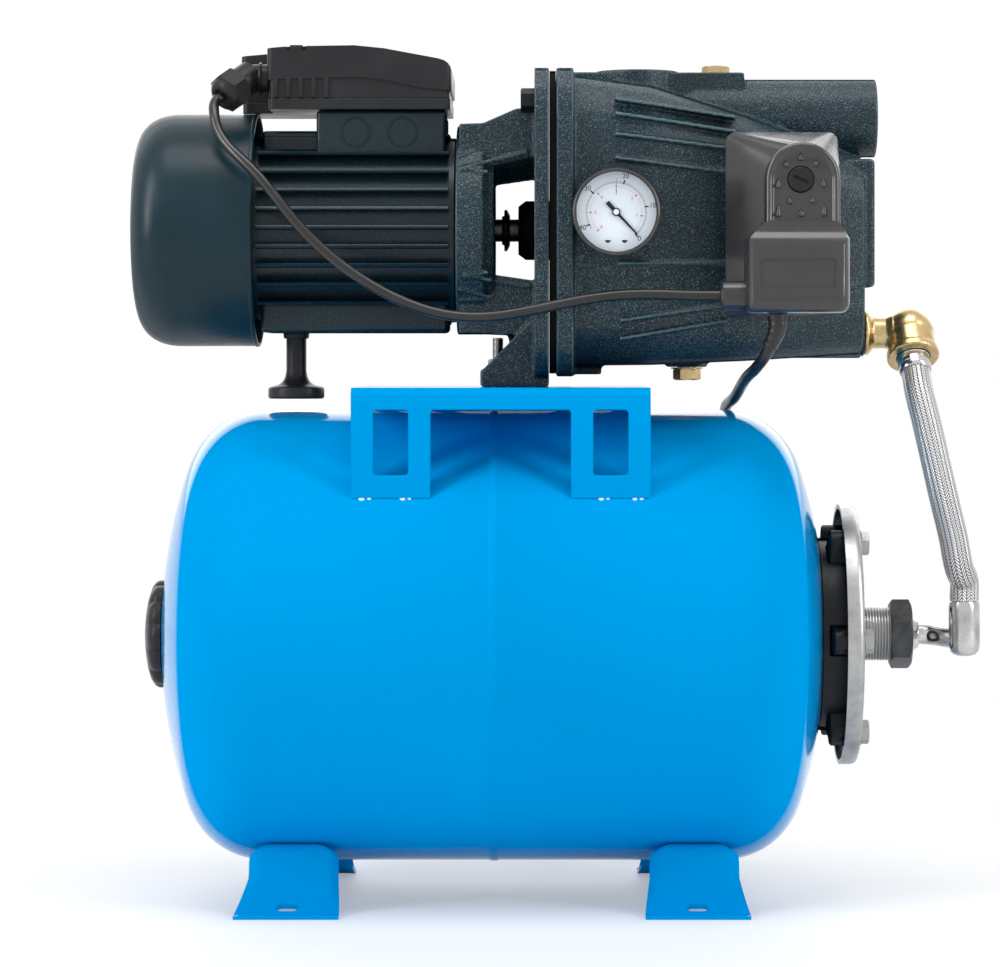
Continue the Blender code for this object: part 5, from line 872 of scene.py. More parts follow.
def air_valve():
    rim = TANK_LEFT + crown_offset(0.0335) - 0.0007
    top = TANK_LEFT - 0.0112
    shape = [
        (top, 0.0015, 0), (top + 0.0003, 0.008, 0), (top + 0.0012, 0.016, 0.0004),
        (top + 0.0028, 0.024, 0.0010), (top + 0.0048, 0.0300, 0.0016), (top + 0.0070, 0.0326, 0.0021),
        (top + 0.0090, 0.0335, 0.0022), (rim, 0.0335, 0.0022), (rim, 0.0295, 0), (top + 0.0065, 0.0275, 0),
        (top + 0.0034, 0.014, 0), (TANK_LEFT - 0.0008, 0.0115, 0), (TANK_LEFT - 0.0008, 0.0088, 0),
        (top + 0.0030, 0.0088, 0), (top + 0.0030, 0.0015, 0)
    ]
    sections = []
    for x, radius, lobe in shape:
        ring = []
        for degrees in range(0, 360, 3):
            here = radius - lobe * (1 - abs(math.cos(math.radians(degrees * 6)))) ** 1.5
            y, z = around(here, degrees)
            ring.append((x, y, z))
        sections.append(ring)
    bm = moved(lofted(sections), AT_TANK)
    finish_piece(
        "valve_cap_moulding", bm, BLACK_PLASTIC, "valve_cap", ["air_valve_cap"], 50
    )


# Neck, counter flange and union
def neck_ring():
    front, lug_start, lug = 0.1945, 0.1814, 0.0085
    tangent = math.degrees(math.asin(lug / BOLT_CIRCLE))
    angles = []
    for index in range(6):
        middle = 60 * index
        for part in np.linspace(-tangent, tangent, 13):
            away = BOLT_CIRCLE * math.sin(math.radians(part))
            reach = BOLT_CIRCLE * math.cos(math.radians(part)) + math.sqrt(max(lug**2 - away**2, 0))
            angles.append((middle + part, reach))
        angles += [(middle + part, 0.0600) for part in np.linspace(tangent + 2, 60 - tangent - 2, 9)]
    rear_outer = TANK_RIGHT - crown_offset(0.0600) + 0.0004
    rear_inner = TANK_RIGHT - crown_offset(0.0455) + 0.0004
    sections = []
    stations = (
        (rear_inner, 0.0455, 0), (rear_outer, 0.0600, 0), (lug_start - 0.0015, 0.0600, 0),
        (lug_start, 0, 0.0012), (lug_start + 0.0010, 0, 0), (front - 0.0008, 0, 0), (front, 0, 0.0008),
        (front, 0.0455, 0)
    )
    for x, radius, soft in stations:
        spots = [around(radius or max(reach - soft, 0.0600), degrees) for degrees, reach in angles]
        sections.append([(x, y, z) for y, z in spots])
    bm = moved(lofted(sections, closed=True), AT_TANK)
    # The ring's near-black colour is partly its own dark paint and partly painted shade.
    finish_piece("neck_ring", bm, NECK_PAINT_AND_SHADE, "set", ["neck_flange"], 40)


def counter_flange():
    rim, end = 0.0810, FLANGE_FRONT + 0.0285
    profile = [
        (FLANGE_BACK, 0.0125), (FLANGE_BACK, rim - 0.0045), (FLANGE_BACK - 0.0012, rim - 0.0027),
        (FLANGE_FRONT - 0.0105, rim - 0.0027), (FLANGE_FRONT - 0.0105, rim), (FLANGE_FRONT - 0.0045, rim)
    ]
    profile = curved(profile, (FLANGE_FRONT, rim), (FLANGE_FRONT, rim - 0.0045), 6)
    profile += [(FLANGE_FRONT, 0.0500), (FLANGE_FRONT - 0.0005, 0.0490), (FLANGE_FRONT - 0.0005, 0.0190),
                (FLANGE_FRONT + 0.0008, 0.0172), (FLANGE_FRONT + 0.0020, 0.0163)]
    at = FLANGE_FRONT + 0.0026
    while at < end - 0.0020:
        profile += [(at, 0.0158), (at + 0.0007, 0.0166), (at + 0.0011, 0.0166)]
        at += 0.0018
    profile += [(end - 0.0008, 0.0160), (end, 0.0152), (end, 0.0125)]
    bm = turned(profile, 128, location=AT_TANK, ring=True)
    finish_piece("counter_flange_plate", bm, ZINC, "set", ["counter_flange"], 40)


def flange_bolts():
    head = hexagon(0, 0.0055, 0.013)
    washer = turned(
        [(-0.0002, 0.0042), (-0.0002, 0.0078), (0.0004, 0.0082), (0.0008, 0.0078), (0.0008, 0.0042)], 40,
        ring=True
    )
    shank = rod(-0.0155, 0.0002, 0.0040, 24)
    bolt = together(head, washer, shank)
    for index in range(6):
        y, z = around(BOLT_CIRCLE, 60 * index)
        bm = moved(spun(bolt.copy(), 13 * index), (FLANGE_FRONT + 0.0003, y, TANK_Z + z))
        finish_piece(
            f"flange_bolt_{index + 1}", bm, ZINC, "set", [f"tank_bolt_{index + 1}"], 30
        )
    bolt.free()


def union():
    start, end = FLANGE_FRONT + 0.0214, FLANGE_FRONT + 0.0348
    nut = hexagon(start, end, 0.038, chamfer=0.0016, inner=0.0170, tilt=8)
    nose = [
        (end - 0.003, 0.0068), (end - 0.003, 0.0174), (end, 0.0130), (end + 0.0020, 0.0098),
        (end + 0.0042, 0.0088), (end + 0.0046, 0.0080), (end + 0.0046, 0.0068)
    ]
    finish_piece("union_hexagon", moved(nut, AT_TANK), DARK_STEEL, "set", ["union_nut"], 30)
    nose_x = end + 0.0055
    centre = SLEEVE + UP * 0.0105
    inward = Vector((0.88, -0.46, -0.07)).normalized()
    route = smooth_route(
        [
            (nose_x - 0.006, 0, TANK_Z), (nose_x, 0, TANK_Z), (nose_x + 0.006, -0.0008, TANK_Z - 0.0003),
            centre - inward * 0.012, centre - inward * 0.001
        ],
        0.0015
    )
    tail = tube_along(route, [0.0064] * len(route), 40)
    collar = rod(FLANGE_FRONT + 0.0288, end - 0.0033, 0.0150, 48, location=AT_TANK)
    cone = moved(turned(nose, 64, ring=True), AT_TANK)
    finish_piece("bent_tail", together(collar, tail, cone), CHROME, "set", ["hose_tail"], 35)
    shape = [
        (0, 0), (0.0002, 0.0045), (0.0012, 0.0072), (0.0030, 0.0088), (0.0055, 0.0095), (0.0090, 0.00975),
        (0.0300, 0.00975), (0.0330, 0.0094), (0.0340, 0.0088), (0.0340, 0)
    ]
    finish_piece(
        "lower_sleeve", turned(shape, 64, UP, SLEEVE), CHROME, "set", ["hose_sleeve"], 35
    )


# Brass elbow and braided hose
def elbow():
    collar = 0.2035 + 0.0020
    stub = [
        (collar - 0.016, 0), (collar - 0.016, 0.0100), (collar, 0.0100), (collar, 0.0138),
        (collar + 0.0022, 0.0138), (collar + 0.0042, 0.0118), (collar + 0.0052, 0.0098), (0.2190, 0.0096),
        (0.2225, 0.0116), (0.2340, 0.0118), (0.2340, 0)
    ]
    ball = bmesh.new()
    bmesh.ops.create_uvsphere(ball, u_segments=48, v_segments=24, radius=0.0154)
    moved(ball, ELBOW)
    mouth = [(0, 0), (0, 0.0150), (0.0138, 0.0150), (0.0148, 0.0163), (0.0190, 0.0163), (0.0190, 0)]
    shapes = [turned(stub, 48, location=AT_OUTLET), ball, turned(mouth, 48, ELBOW_AXIS, ELBOW)]
    bore = rod(0.0085, 0.04, 0.0108, 40, ELBOW_AXIS, ELBOW)
    bm = cast(shapes, 0.00055, 4, [bore])
    finish_piece("elbow_casting", bm, BRASS, "set", ["brass_elbow"], 50)
    ring = [
        (0.2038, 0.0106), (0.2038, 0.0140), (0.2043, 0.0147), (0.2049, 0.0147), (0.2053, 0.0140),
        (0.2053, 0.0106)
    ]
    finish_piece(
        "elbow_washer", turned(ring, 48, location=AT_OUTLET, ring=True), RUBBER, "set", ["elbow_gasket"],
        50
    )
    nut = [
        (0.0088, 0), (0.0088, 0.0102), (0.0150, 0.0102), (0.0196, 0.0102), (0.0200, 0.0097),
        (0.0212, 0.0097), (0.0216, 0.0102), (0.0252, 0.0102), (0.0256, 0.0097), (0.0268, 0.0097),
        (0.0272, 0.0102), (0.0288, 0.0102), (0.0300, 0.0094), (0.0300, 0)
    ]
    finish_piece(
        "upper_ferrule", turned(nut, 64, ELBOW_AXIS, ELBOW), CHROME, "set", ["hose_nut"], 35
    )


HOSE_BOW = (
    (0.178, -0.0013, 0.0128), (0.305, -0.0012, 0.0163), (0.453, -0.0010, 0.0172), (0.609, -0.0004, 0.0157),
    (0.750, 0.0002, 0.0122), (0.870, 0.0007, 0.0071),
)


def braided_hose():
    top = ELBOW + ELBOW_AXIS * 0.0303
    bottom = SLEEVE + UP * 0.0343
    middle = [top + ELBOW_AXIS * 0.004, top + ELBOW_AXIS * 0.012]
    for share, sideways, forward in HOSE_BOW:
        middle.append(top.lerp(bottom, share) + ALONG * sideways + FRONT * forward)
    middle += [bottom + UP * 0.012, bottom + UP * 0.004]
    route = [top, *smooth_route(middle, 0.0035), bottom]
    bm = tube_along(route, [0.0090] * len(route), 48)
    hose = finish_piece("braided_hose_run", bm, BRAID, "set", ["braided_hose"], 50)


# Cords
def cord_curve(name, points, radius, nodes):
    """A rubber cord as one Bezier spline through its points, in place."""
    data = bpy.data.curves.new(name, "CURVE")
    data.dimensions = "3D"
    data.bevel_depth = radius
    data.bevel_resolution = 6
    data.resolution_u = 6
    data.use_fill_caps = True
    spline = data.splines.new("BEZIER")
    spline.bezier_points.add(len(points) - 1)
    for knot, point in zip(spline.bezier_points, points):
        knot.co = Vector(point) - SHIFT
        knot.handle_left_type = knot.handle_right_type = "AUTO"
    data.materials.append(RUBBER)
    piece = placed(name, data)
    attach(piece, "set")
    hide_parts(*nodes)
    return piece


def curve_length(points):
    """Length of the smooth line through a cord's points."""
    return route_length(smooth_route(points, 0.002))


def link_cable():
    mouth = GLAND + GLAND_AXIS * 0.0258
    cuff = Vector((0.1112, -0.1030, 0.3725))
    hang = [
        mouth + GLAND_AXIS * 0.004, (-0.1955, -0.0560, 0.4845), (-0.1915, -0.0630, 0.4715),
        (-0.1825, -0.0700, 0.4605), (-0.1690, -0.0765, 0.4475), (-0.1447, -0.0830, 0.4180),
        (-0.1252, -0.0850, 0.3987), (-0.1029, -0.0870, 0.3820), (-0.0808, -0.0890, 0.3701),
        (-0.0561, -0.0920, 0.3619), (-0.0338, -0.0950, 0.3598), (0.0016, -0.0990, 0.3645),
        (0.0303, -0.1010, 0.3702), (0.0596, -0.1025, 0.3733), (0.0950, -0.1030, 0.3726),
        cuff - ALONG * 0.004
    ]
    points = [mouth, *smooth_route(hang, 0.0120), cuff]
    cable = cord_curve("link_cable_run", points, 0.00325, ["link_cable"])
    curve_length(points)


def coil_turns(centre):
    """Two layers of two turns on the floor, then a quarter turn over them towards the plug."""
    keys = [(0, 0.0420, 0.0038), (290, 0.0420, 0.0038), (350, 0.0350, 0.0038), (650, 0.0350, 0.0038),
            (715, 0.0350, 0.0108), (1010, 0.0350, 0.0108), (1070, 0.0420, 0.0108), (1385, 0.0420, 0.0108),
            (1440, 0.0418, 0.0178), (1490, 0.0400, 0.0179), (1530, 0.0385, 0.0180)]
    points = []
    for degrees in range(0, 1531, 18):
        radius = np.interp(degrees, [k[0] for k in keys], [k[1] for k in keys])
        height = np.interp(degrees, [k[0] for k in keys], [k[2] for k in keys])
        angle = math.radians(degrees)
        points.append((centre[0] + radius * math.cos(angle), centre[1] + radius * math.sin(angle), height))
    return points


def mains_cord():
    over = TANK_R + 0.0045
    start = Vector((0.1450, -0.1120, 0.3581))
    points = [
        start - UP * 0.004, (0.1425, -0.1095, 0.3465), (0.1375, -0.1030, 0.3355), (0.1325, -0.0910, 0.3285),
        (0.1290, -0.0735, 0.3240), (0.1265, -0.0450, 0.3180), (0.1235, -0.0100, 0.3100)
    ]
    for degrees in (8, 22, 36, 50, 66, 82):
        angle = math.radians(degrees)
        points.append((0.1210, over * math.sin(angle), TANK_Z + over * math.cos(angle)))
    points += [
        (0.1210, 0.1475, 0.1500), (0.1210, 0.1490, 0.1100), (0.1210, 0.1500, 0.0700),
        (0.1212, 0.1545, 0.0400), (0.1220, 0.1660, 0.0170), (0.1232, 0.1830, 0.0065),
        (0.1242, 0.2030, 0.0038)
    ]
    entry = (0.0529, 0.2705, 0.0181)
    turns = coil_turns((0.0825, 0.2320))
    points = [
        start, *smooth_route(points, 0.0165), *turns, (0.0760, 0.2705, 0.0181), (0.0680, 0.2705, 0.0181),
        entry
    ]
    cord = cord_curve("mains_cord_run", points, 0.0035, ["mains_cord", "mains_coil"])
    profile = [
        (-0.0002, 0), (-0.0002, 0.0045), (0.0010, 0.0052), (0.0060, 0.0057), (0.0220, 0.0078),
        (0.0240, 0.0095), (0.0262, 0.0132), (0.0320, 0.0156), (0.0380, 0.0176), (0.0440, 0.0178),
        (0.0520, 0.0178), (0.0534, 0.0172), (0.0540, 0.0160), (0.0540, 0)
    ]
    plug = turned(profile, 64, -ALONG, entry)
    pins = [
        rod(0.053, 0.073, 0.0024, 24, -ALONG, Vector(entry) + Vector((0, side * 0.0095, 0)), 0.0006)
        for side in (-1, 1)
    ]
    body = finish_piece("plug_moulding", plug, RUBBER, "set", ["mains_plug"], 40)
    metal = finish_piece("plug_pins", together(*pins), BRASS, "set")
    relief = smooth_route(
        [start + UP * 0.002, start - UP * 0.004, (0.1425, -0.1095, 0.3465), (0.1375, -0.1030, 0.3355)],
        0.0011
    )[:19]
    radii = [
        0.0062 - 0.0017 * i / (len(relief) - 1) - (0.0004 if i % 4 == 3 else 0) for i in range(len(relief))
    ]
    sleeve = finish_piece(
        "cord_relief", tube_along(relief, radii, 40), RUBBER, "set", sharp=60
    )
    curve_length(points)


# Pump
def flange_outline(inset=0.0):
    """The cast flanges: a rectangle with broad corners, drawn as soft curves."""
    half, top, bottom = 0.085 - inset, PUMP_Z + 0.0975 - inset, PUMP_Z - 0.0910 + inset
    corner = 0.025
    outline = []
    for side, end, first in ((1, top, 1), (-1, top, 0), (-1, bottom, 1), (1, bottom, 0)):
        inner = math.copysign(corner, end - PUMP_Z)
        start = [(side * half, end - inner * 1.25)]
        arc = curved(start, (side * half, end), (side * (half - corner * 1.25), end), 6)
        outline += arc if first else arc[::-1]
    return outline


def housing_sections(shrink=0.0):
    """Four upright sections of the pump housing, from its flange to its nose."""
    start, end = 0.0132, 0.2028
    shapes = (
        (start + 0.003, 0.079, 0.0845, 0.0950, 0.036),
        (start + 0.31 * (end - start), 0.076, 0.0840, 0.0880, 0.038),
        (start + 0.62 * (end - start), 0.063, 0.0815, 0.0700, 0.036), (end, 0.043, 0.0770, 0.0440, 0.028)
    )
    sections = []
    for index, (x, half, below, above, corner) in enumerate(shapes):
        if shrink and index == 3:
            x -= 2 * shrink
        low, high = PUMP_Z - below + shrink, PUMP_Z + above - shrink
        outline = rounded((-half + shrink, low), (half - shrink, high), corner - shrink)
        sections.append([(x, y, z) for y, z in outline])
    return sections


def body_half_depth(x):
    """Half depth of the pump housing at a place along it."""
    shapes = [(section[0][0], max(point[1] for point in section)) for section in housing_sections()]
    return float(np.interp(x, [s[0] for s in shapes], [s[1] for s in shapes]))


RIBS = (
    ((0.0490, 0.0773), (0.1225, 0.0670), (-0.0002, -0.0040)),
    ((0.0490, 0.0683), (0.1225, 0.0580), (0.0026, 0.0010)),
    ((0.0490, 0.0559), (0.1225, 0.0472), (0.0030, 0.0024)),
    ((0.0490, 0.0414), (0.1225, 0.0325), (0.0030, 0.0024)),
    ((0.051, -0.0225), (0.117, -0.0220), (0.0028, 0.0020)),
    ((0.052, -0.0570), (0.117, -0.0475), (0.0024, 0.0020)),
    ((0.052, -0.0680), (0.117, -0.0570), (-0.0010, 0.0006)),
)


def rib(start, end, stand_out):
    """A raised rib on the front of the pump housing."""
    width = 0.0021
    sections = []
    for t in (0.0, 0.25, 0.5, 0.75, 1.0):
        x = start[0] + (end[0] - start[0]) * t
        z = PUMP_Z + start[1] + (end[1] - start[1]) * t
        out = stand_out[0] + (stand_out[1] - stand_out[0]) * t
        deep = -body_half_depth(x) - out
        outline = ((-0.03, -width), (deep, -width / 2), (deep, width / 2), (-0.03, width))
        sections.append([(x, y, z + away) for y, away in outline])
    return lofted(sections)


def pump_housing():
    suction_z, pad = PUMP_Z + 0.0700, PUMP_Z + 0.0990
    top = [
        (0.0152, 0.460), (0.0152, pad - 0.0012), (0.0700, pad - 0.0012), (0.0840, pad - 0.0042),
        (0.1290, pad - 0.0048), (0.1310, pad - 0.0070), (0.1310, 0.460)
    ]
    shapes = [
        lofted(housing_sections()), prism(flange_outline(), "X", 0.0132, 0.0238),
        turned(
            [(0.085, 0), (0.085, 0.020), (0.100, 0.0243), (0.2126, 0.0243), (0.2126, 0)], 64,
            location=(0, 0, suction_z)
        ),
        rod(PUMP_Z + 0.06, pad, 0.0255, 64, UP, (0.0640, 0, 0)), prism(top, "Y", -0.018, 0.018),
        box((0.0840, -0.0180, pad - 0.010), (0.1300, -0.0125, pad - 0.0014)),
        rod(0.150, 0.2035, 0.0157, 48, location=AT_OUTLET),
        box((0.1908, -0.0365, PUMP_Z - 0.036), (0.2095, -0.012, PUMP_Z + 0.043), 0.002),
        box((0.0218, -0.022, PUMP_Z - 0.0898), (0.0413, 0.022, PUMP_Z - 0.07)),
        rod(0.045, 0.0786, 0.0120, 40, FRONT, (0.0491, 0, PUMP_Z + 0.0077)),
        rod(0.040, 0.0677, 0.0130, 40, FRONT, AT_SWITCH),
        rod(-0.0852, -0.07, 0.0125, 40, UP, (0.0950, 0, PUMP_Z))
    ]
    shapes += [rib(*places) for places in RIBS]
    hollow = as_object(lofted(housing_sections(0.009)[1:]))
    combine(
        hollow, "UNION",
        rod(0.0032, 0.0897, 0.0700, 64, location=AT_SHAFT),
        rod(0.120, 0.2226, 0.0150, 48, location=(0, 0, suction_z)),
        rod(PUMP_Z + 0.05, pad + 0.01, 0.0150, 48, UP, (0.0640, 0, 0)),
        rod(0.1685, 0.2135, 0.0106, 40, location=AT_OUTLET),
        rod(PUMP_Z + 0.075, pad + 0.01, 0.0064, 24, UP, (0.1130, 0, 0)),
    )
    bm = cast(shapes, 0.0010, 3, [taken(hollow)], keep=0.30)
    finish_piece("pump_casting", bm, HAMMERED, "set", ["pump_housing"], 60)


def pump_plugs():
    for name, node, body, direction, spot in (
        ("priming_plug_head", "priming_plug", "filler_plug", UP, (0.1130, 0, PUMP_Z + 0.0944)),
        ("drain_plug_head", "drain_plug", "drain", -UP, (0.0950, 0, PUMP_Z - 0.0852)),
    ):
        head = hexagon(0.0010, 0.0082, 0.0150, direction, chamfer=0.0008)
        collar = rod(0.0003, 0.0013, 0.0100, 48, direction, soft=0.0002)
        shank = rod(-0.0090, 0.0005, 0.0059, 32, direction)
        bm = moved(together(head, collar, shank), spot)
        finish_piece(name, bm, BRASS, body, [node], 30)


def seal_plate():
    left = 0.0129 - 0.0038 - 0.0193
    boss = turned(
        [(left, 0), (left, 0.0150), (left + 0.0045, 0.0184), (0.0119, 0.0184), (0.0119, 0)], 64,
        location=AT_SHAFT
    )
    holes = [
        rod(left - 0.01, 0.0229, 0.0080, 40, location=AT_SHAFT),
        rod(left + 0.0050, 0.0229, 0.0132, 40, location=AT_SHAFT)
    ]
    bm = carved(prism(flange_outline(0.0018), "X", 0.0091, 0.0129), *holes, joined=[boss])
    finish_piece("seal_plate_sheet", bm, SEAL_BLACK_IN_SHADE, "set", ["seal_plate"], 35)


RIDGES = (
    ((-0.0457, 0.0361), (-0.0270, 0.0409), (-0.0250, 0.0414), (-0.0044, 0.0466)),
    ((-0.0457, 0.0361), (-0.0287, 0.0339)),
    ((-0.0470, 0.0433), (-0.0270, 0.0508)),
    ((-0.0470, 0.0526), (-0.0270, 0.0526)),
    ((-0.0429, -0.0294), (-0.0270, -0.0320), (-0.0250, -0.0324), (-0.0024, -0.0360)),
    ((-0.0429, -0.0294), (-0.0280, -0.0274)),
    ((-0.0462, -0.0375), (-0.0270, -0.0424)),
    ((-0.0462, -0.0440), (-0.0270, -0.0436)),
)


def lantern_bracket():
    ring = turned(
        [
            (-0.0483, 0), (-0.0483, 0.0650), (-0.0318, 0.0650), (-0.0283, 0.0610), (-0.0250, 0.0590),
            (-0.0250, 0)
        ],
        96, location=AT_SHAFT
    )
    shapes = [ring, prism(flange_outline(), "X", 0.0, 0.0088)]
    upper = []
    for y, left, right in ((-0.045, 0.0340, 0.0445), (0.045, 0.0270, 0.0340)):
        outline = (
            (-0.0463, left), (0.002, right), (0.002, 0.0735), (-0.0110, 0.0735), (-0.0317, 0.0645),
            (-0.0463, 0.0640)
        )
        upper.append([(x, y, PUMP_Z + rise) for x, rise in outline])
    lower = [
        (-0.0463, PUMP_Z - 0.0270), (-0.0260, PUMP_Z - 0.0284), (0.002, PUMP_Z - 0.0325),
        (0.002, PUMP_Z - 0.0660), (-0.0463, PUMP_Z - 0.0640)
    ]
    shapes += [lofted(upper), prism(lower, "Y", -0.045, 0.045)]
    for route in RIDGES:
        points = []
        for x, rise in route:
            deep = math.sqrt(0.0650**2 - rise**2) if x < -0.026 else 0.0452
            points.append((x, -deep - 0.0003, PUMP_Z + rise))
        shapes.append(tube_along(points, [0.0012] * len(points), 8))
    low, high = CRADLE_TOP + 0.0003, CRADLE_TOP + 0.0108
    shapes.append(box((-0.0332, -0.052, low), (0.0088, 0.052, high)))
    shapes.append(box((0.0006, -0.052, high - 0.002), (0.0082, 0.052, PUMP_Z - 0.06)))
    gusset = [(-0.0325, high - 0.001), (0.002, PUMP_Z - 0.0525), (0.002, high - 0.001)]
    for side in (-1, 1):
        outer, inner = side * 0.0514, side * 0.0434
        shapes.append(prism(gusset, "Y", min(outer, inner), max(outer, inner)))
    middle = [
        (0.002, PUMP_Z - 0.06), (0.002, high - 0.001), (-0.012, high - 0.001), (-0.018, PUMP_Z - 0.06)
    ]
    shapes.append(prism(middle, "Y", -0.008, 0.008))
    tool = as_object(rod(-0.001, 0.0188, 0.0190, 48, location=AT_SHAFT))
    bores = [
        rod(-0.06, 0.0, 0.0082, 40, location=AT_SHAFT), rod(-0.06, -0.0333, 0.0163, 48, location=AT_SHAFT)
    ]
    holes = [rod(-0.02, 0.02, 0.0036, 24, UP, (STUD_X, side * STUD_Y, low)) for side in (-1, 1)]
    combine(tool, "UNION", *bores, *holes)
    bm = cast(shapes, 0.0009, 3, [taken(tool)], keep=0.4)
    finish_piece("lantern_casting", bm, HAMMERED, "set", ["lantern_bracket"], 60)
    for number, y, paint in ((1, -0.048, NECK_PAINT_AND_SHADE), (2, 0.048, HAMMERED)):
        head = moved(hexagon(-0.0085, 0.0005, 0.013), (0, y, PUMP_Z + 0.0780))
        finish_piece(f"pump_bolt_{number}", head, paint, "set", sharp=30)


def foot_studs():
    top = CRADLE_TOP + 0.0111
    for name, node, side in (("front_stud", "foot_stud_front", -1), ("rear_stud", "foot_stud_rear", 1)):
        nut = hexagon(0.0008, 0.0060, 0.010, UP)
        washer = turned(
            [(0, 0.0031), (0, 0.0060), (0.0004, 0.0063), (0.0008, 0.0060), (0.0008, 0.0031)], 40, UP,
            ring=True
        )
        under = hexagon(-0.0191, -0.0144, 0.010, UP)
        thread = [(-0.0190, 0), (-0.0190, 0.0027)]
        at = -0.0186
        while at < 0.0186:
            thread += [(at, 0.0026), (at + 0.0004, 0.0030), (at + 0.0007, 0.0030)]
            at += 0.0010
        thread += [(0.0190, 0.0025), (0.0190, 0)]
        bm = moved(together(nut, washer, under, turned(thread, 24, UP)), (STUD_X, side * STUD_Y, top))
        finish_piece(name, bm, ZINC, "set", [node], 35)


# Motor
def fin_outline():
    """Round core with level fins on both sides, each fin a little thinner at its tip."""
    side = []
    for row in range(5, -6, -1):
        points = []
        for edge in (1, -1):
            base = row * FIN_PITCH + edge * 0.0017
            tip = row * FIN_PITCH + edge * 0.0011
            core = math.sqrt(max(0.0560**2 - base**2, 0))
            outer = math.sqrt(max(0.0640**2 - tip**2, 0))
            pair = [(core, base), (outer - 0.0006, tip), (outer, row * FIN_PITCH + edge * 0.0004)]
            if row == 5 and edge == 1 or row == -5 and edge == -1:
                pair = pair[1:]
            points += pair if edge == 1 else pair[::-1]
        side += points
    return side + [(-y, z) for y, z in reversed(side)]


def motor():
    right = -0.0486
    body = as_object(prism(fin_outline(), "X", -0.170, right - 0.004))
    combine(
        body, "UNION",
        rod(-0.176, right, 0.0575, 96, soft=0.0008),
        box((-0.169, -0.036, -0.064), (right - 0.005, 0.036, -0.044), 0.003, 4),
        box((-0.134, -0.042, 0.045), (-0.055, 0.042, 0.0725), 0.0025, 4),
        box((-0.168, -0.030, 0.045), (-0.130, 0.030, 0.0605), 0.002, 3),
    )
    combine(body, "DIFFERENCE", rod(-0.19, right + 0.01, 0.050, 64))
    bm = moved(taken(body), AT_SHAFT)
    for x in (-0.110, -0.0811):
        ring = turned(
            [(0, 0.0093), (0.0007, 0.0090), (0.0007, 0.0084), (-0.0004, 0.0080), (-0.0004, 0)], 48, FRONT
        )
        bm = together(bm, moved(ring, (x, -0.0420, PUMP_Z + 0.0590)))
    finish_piece("motor_casting", bm, MOTOR_PAINT, "set", ["motor_housing"], 35)
    left, radius, wall = -0.249, 0.0722, 0.0018
    outside = [(left, 0), (left, 0.020), (left + 0.0006, 0.040), (left + 0.0018, 0.052)]
    outside = curved(outside, (left + 0.0050, radius - 0.001), (left + 0.0270, radius), 14)
    outside += [(-0.1745, radius), (-0.1740, radius + 0.0005), (-0.1725, radius + 0.0005), (-0.172, radius)]
    inside = [(-0.172, radius - wall), (left + 0.0270, radius - wall)]
    inside = curved(inside, (left + 0.0068, radius - wall - 0.001), (left + 0.0038, 0.051), 8)
    inside += [(left + wall + 0.0006, 0.030), (left + wall, 0)]
    tools = []
    for index in range(16):
        slot = prism(rounded((0.018, -0.0020), (0.050, 0.0020), 0.0019, 4), "X", left - 0.005, left + 0.008)
        tools.append(spun(slot, 360 * (index + 0.5) / 16))
    cover = as_object(turned(outside + inside, 128))
    combine(cover, "DIFFERENCE", together(*tools))
    finish_piece(
        "fan_cover_shell", moved(taken(cover), AT_SHAFT), COVER_PAINT, "set", ["fan_cover"],
        35
    )


def motor_foot():
    bottom, top = TANK_Z + TANK_R + 0.007, PUMP_Z - 0.0643
    profile = [
        (bottom, 0), (bottom, 0.0165), (bottom + 0.001, 0.0175), (bottom + 0.0058, 0.0175),
        (bottom + 0.0068, 0.0171), (bottom + 0.0075, 0.0160)
    ]
    profile += bezier((bottom + 0.0078, 0.0150), (bottom + 0.0085, 0.0068), (bottom + 0.0180, 0.00625), 10)
    profile += [
        (top - 0.0035, 0.00625), (top - 0.0030, 0.0078), (top - 0.0004, 0.0082), (top, 0.0080), (top, 0)
    ]
    finish_piece(
        "motor_pillar", turned(profile, 64, UP, (-0.149, 0, 0)), BLACK_PLASTIC, "set", ["motor_foot"],
        35
    )


def shaft_and_flinger():
    profile = [
        (-0.229, 0), (-0.229, 0.006), (-0.1763, 0.006), (-0.1763, 0.009), (-0.1513, 0.009),
        (-0.1513, 0.029), (-0.0813, 0.029), (-0.0813, 0.009), (-0.0450, 0.009), (-0.0450, 0.007),
        (0.0135, 0.007), (0.0135, 0.006), (0.0369, 0.006), (0.0369, 0)
    ]
    nut = hexagon(0.0312, 0.0359, 0.017)
    # The shaft takes the dark nut steel: its dull, rusty steel deepened as painted shade inside the
    # bracket's window.
    finish_piece(
        "shaft_turning", moved(together(turned(profile, 64), nut), AT_SHAFT), DARK_STEEL, "rotor",
        ["rotor_shaft"], 30
    )
    ring = [
        (-0.0155, 0.0073), (-0.0155, 0.0095), (-0.0172, 0.0128), (-0.0180, 0.0131), (-0.0190, 0.0128),
        (-0.0185, 0.0095), (-0.0205, 0.0088), (-0.0205, 0.0073)
    ]
    finish_piece(
        "flinger_ring", turned(ring, 64, location=AT_SHAFT, ring=True), RUBBER, "rotor", ["water_flinger"],
        35
    )


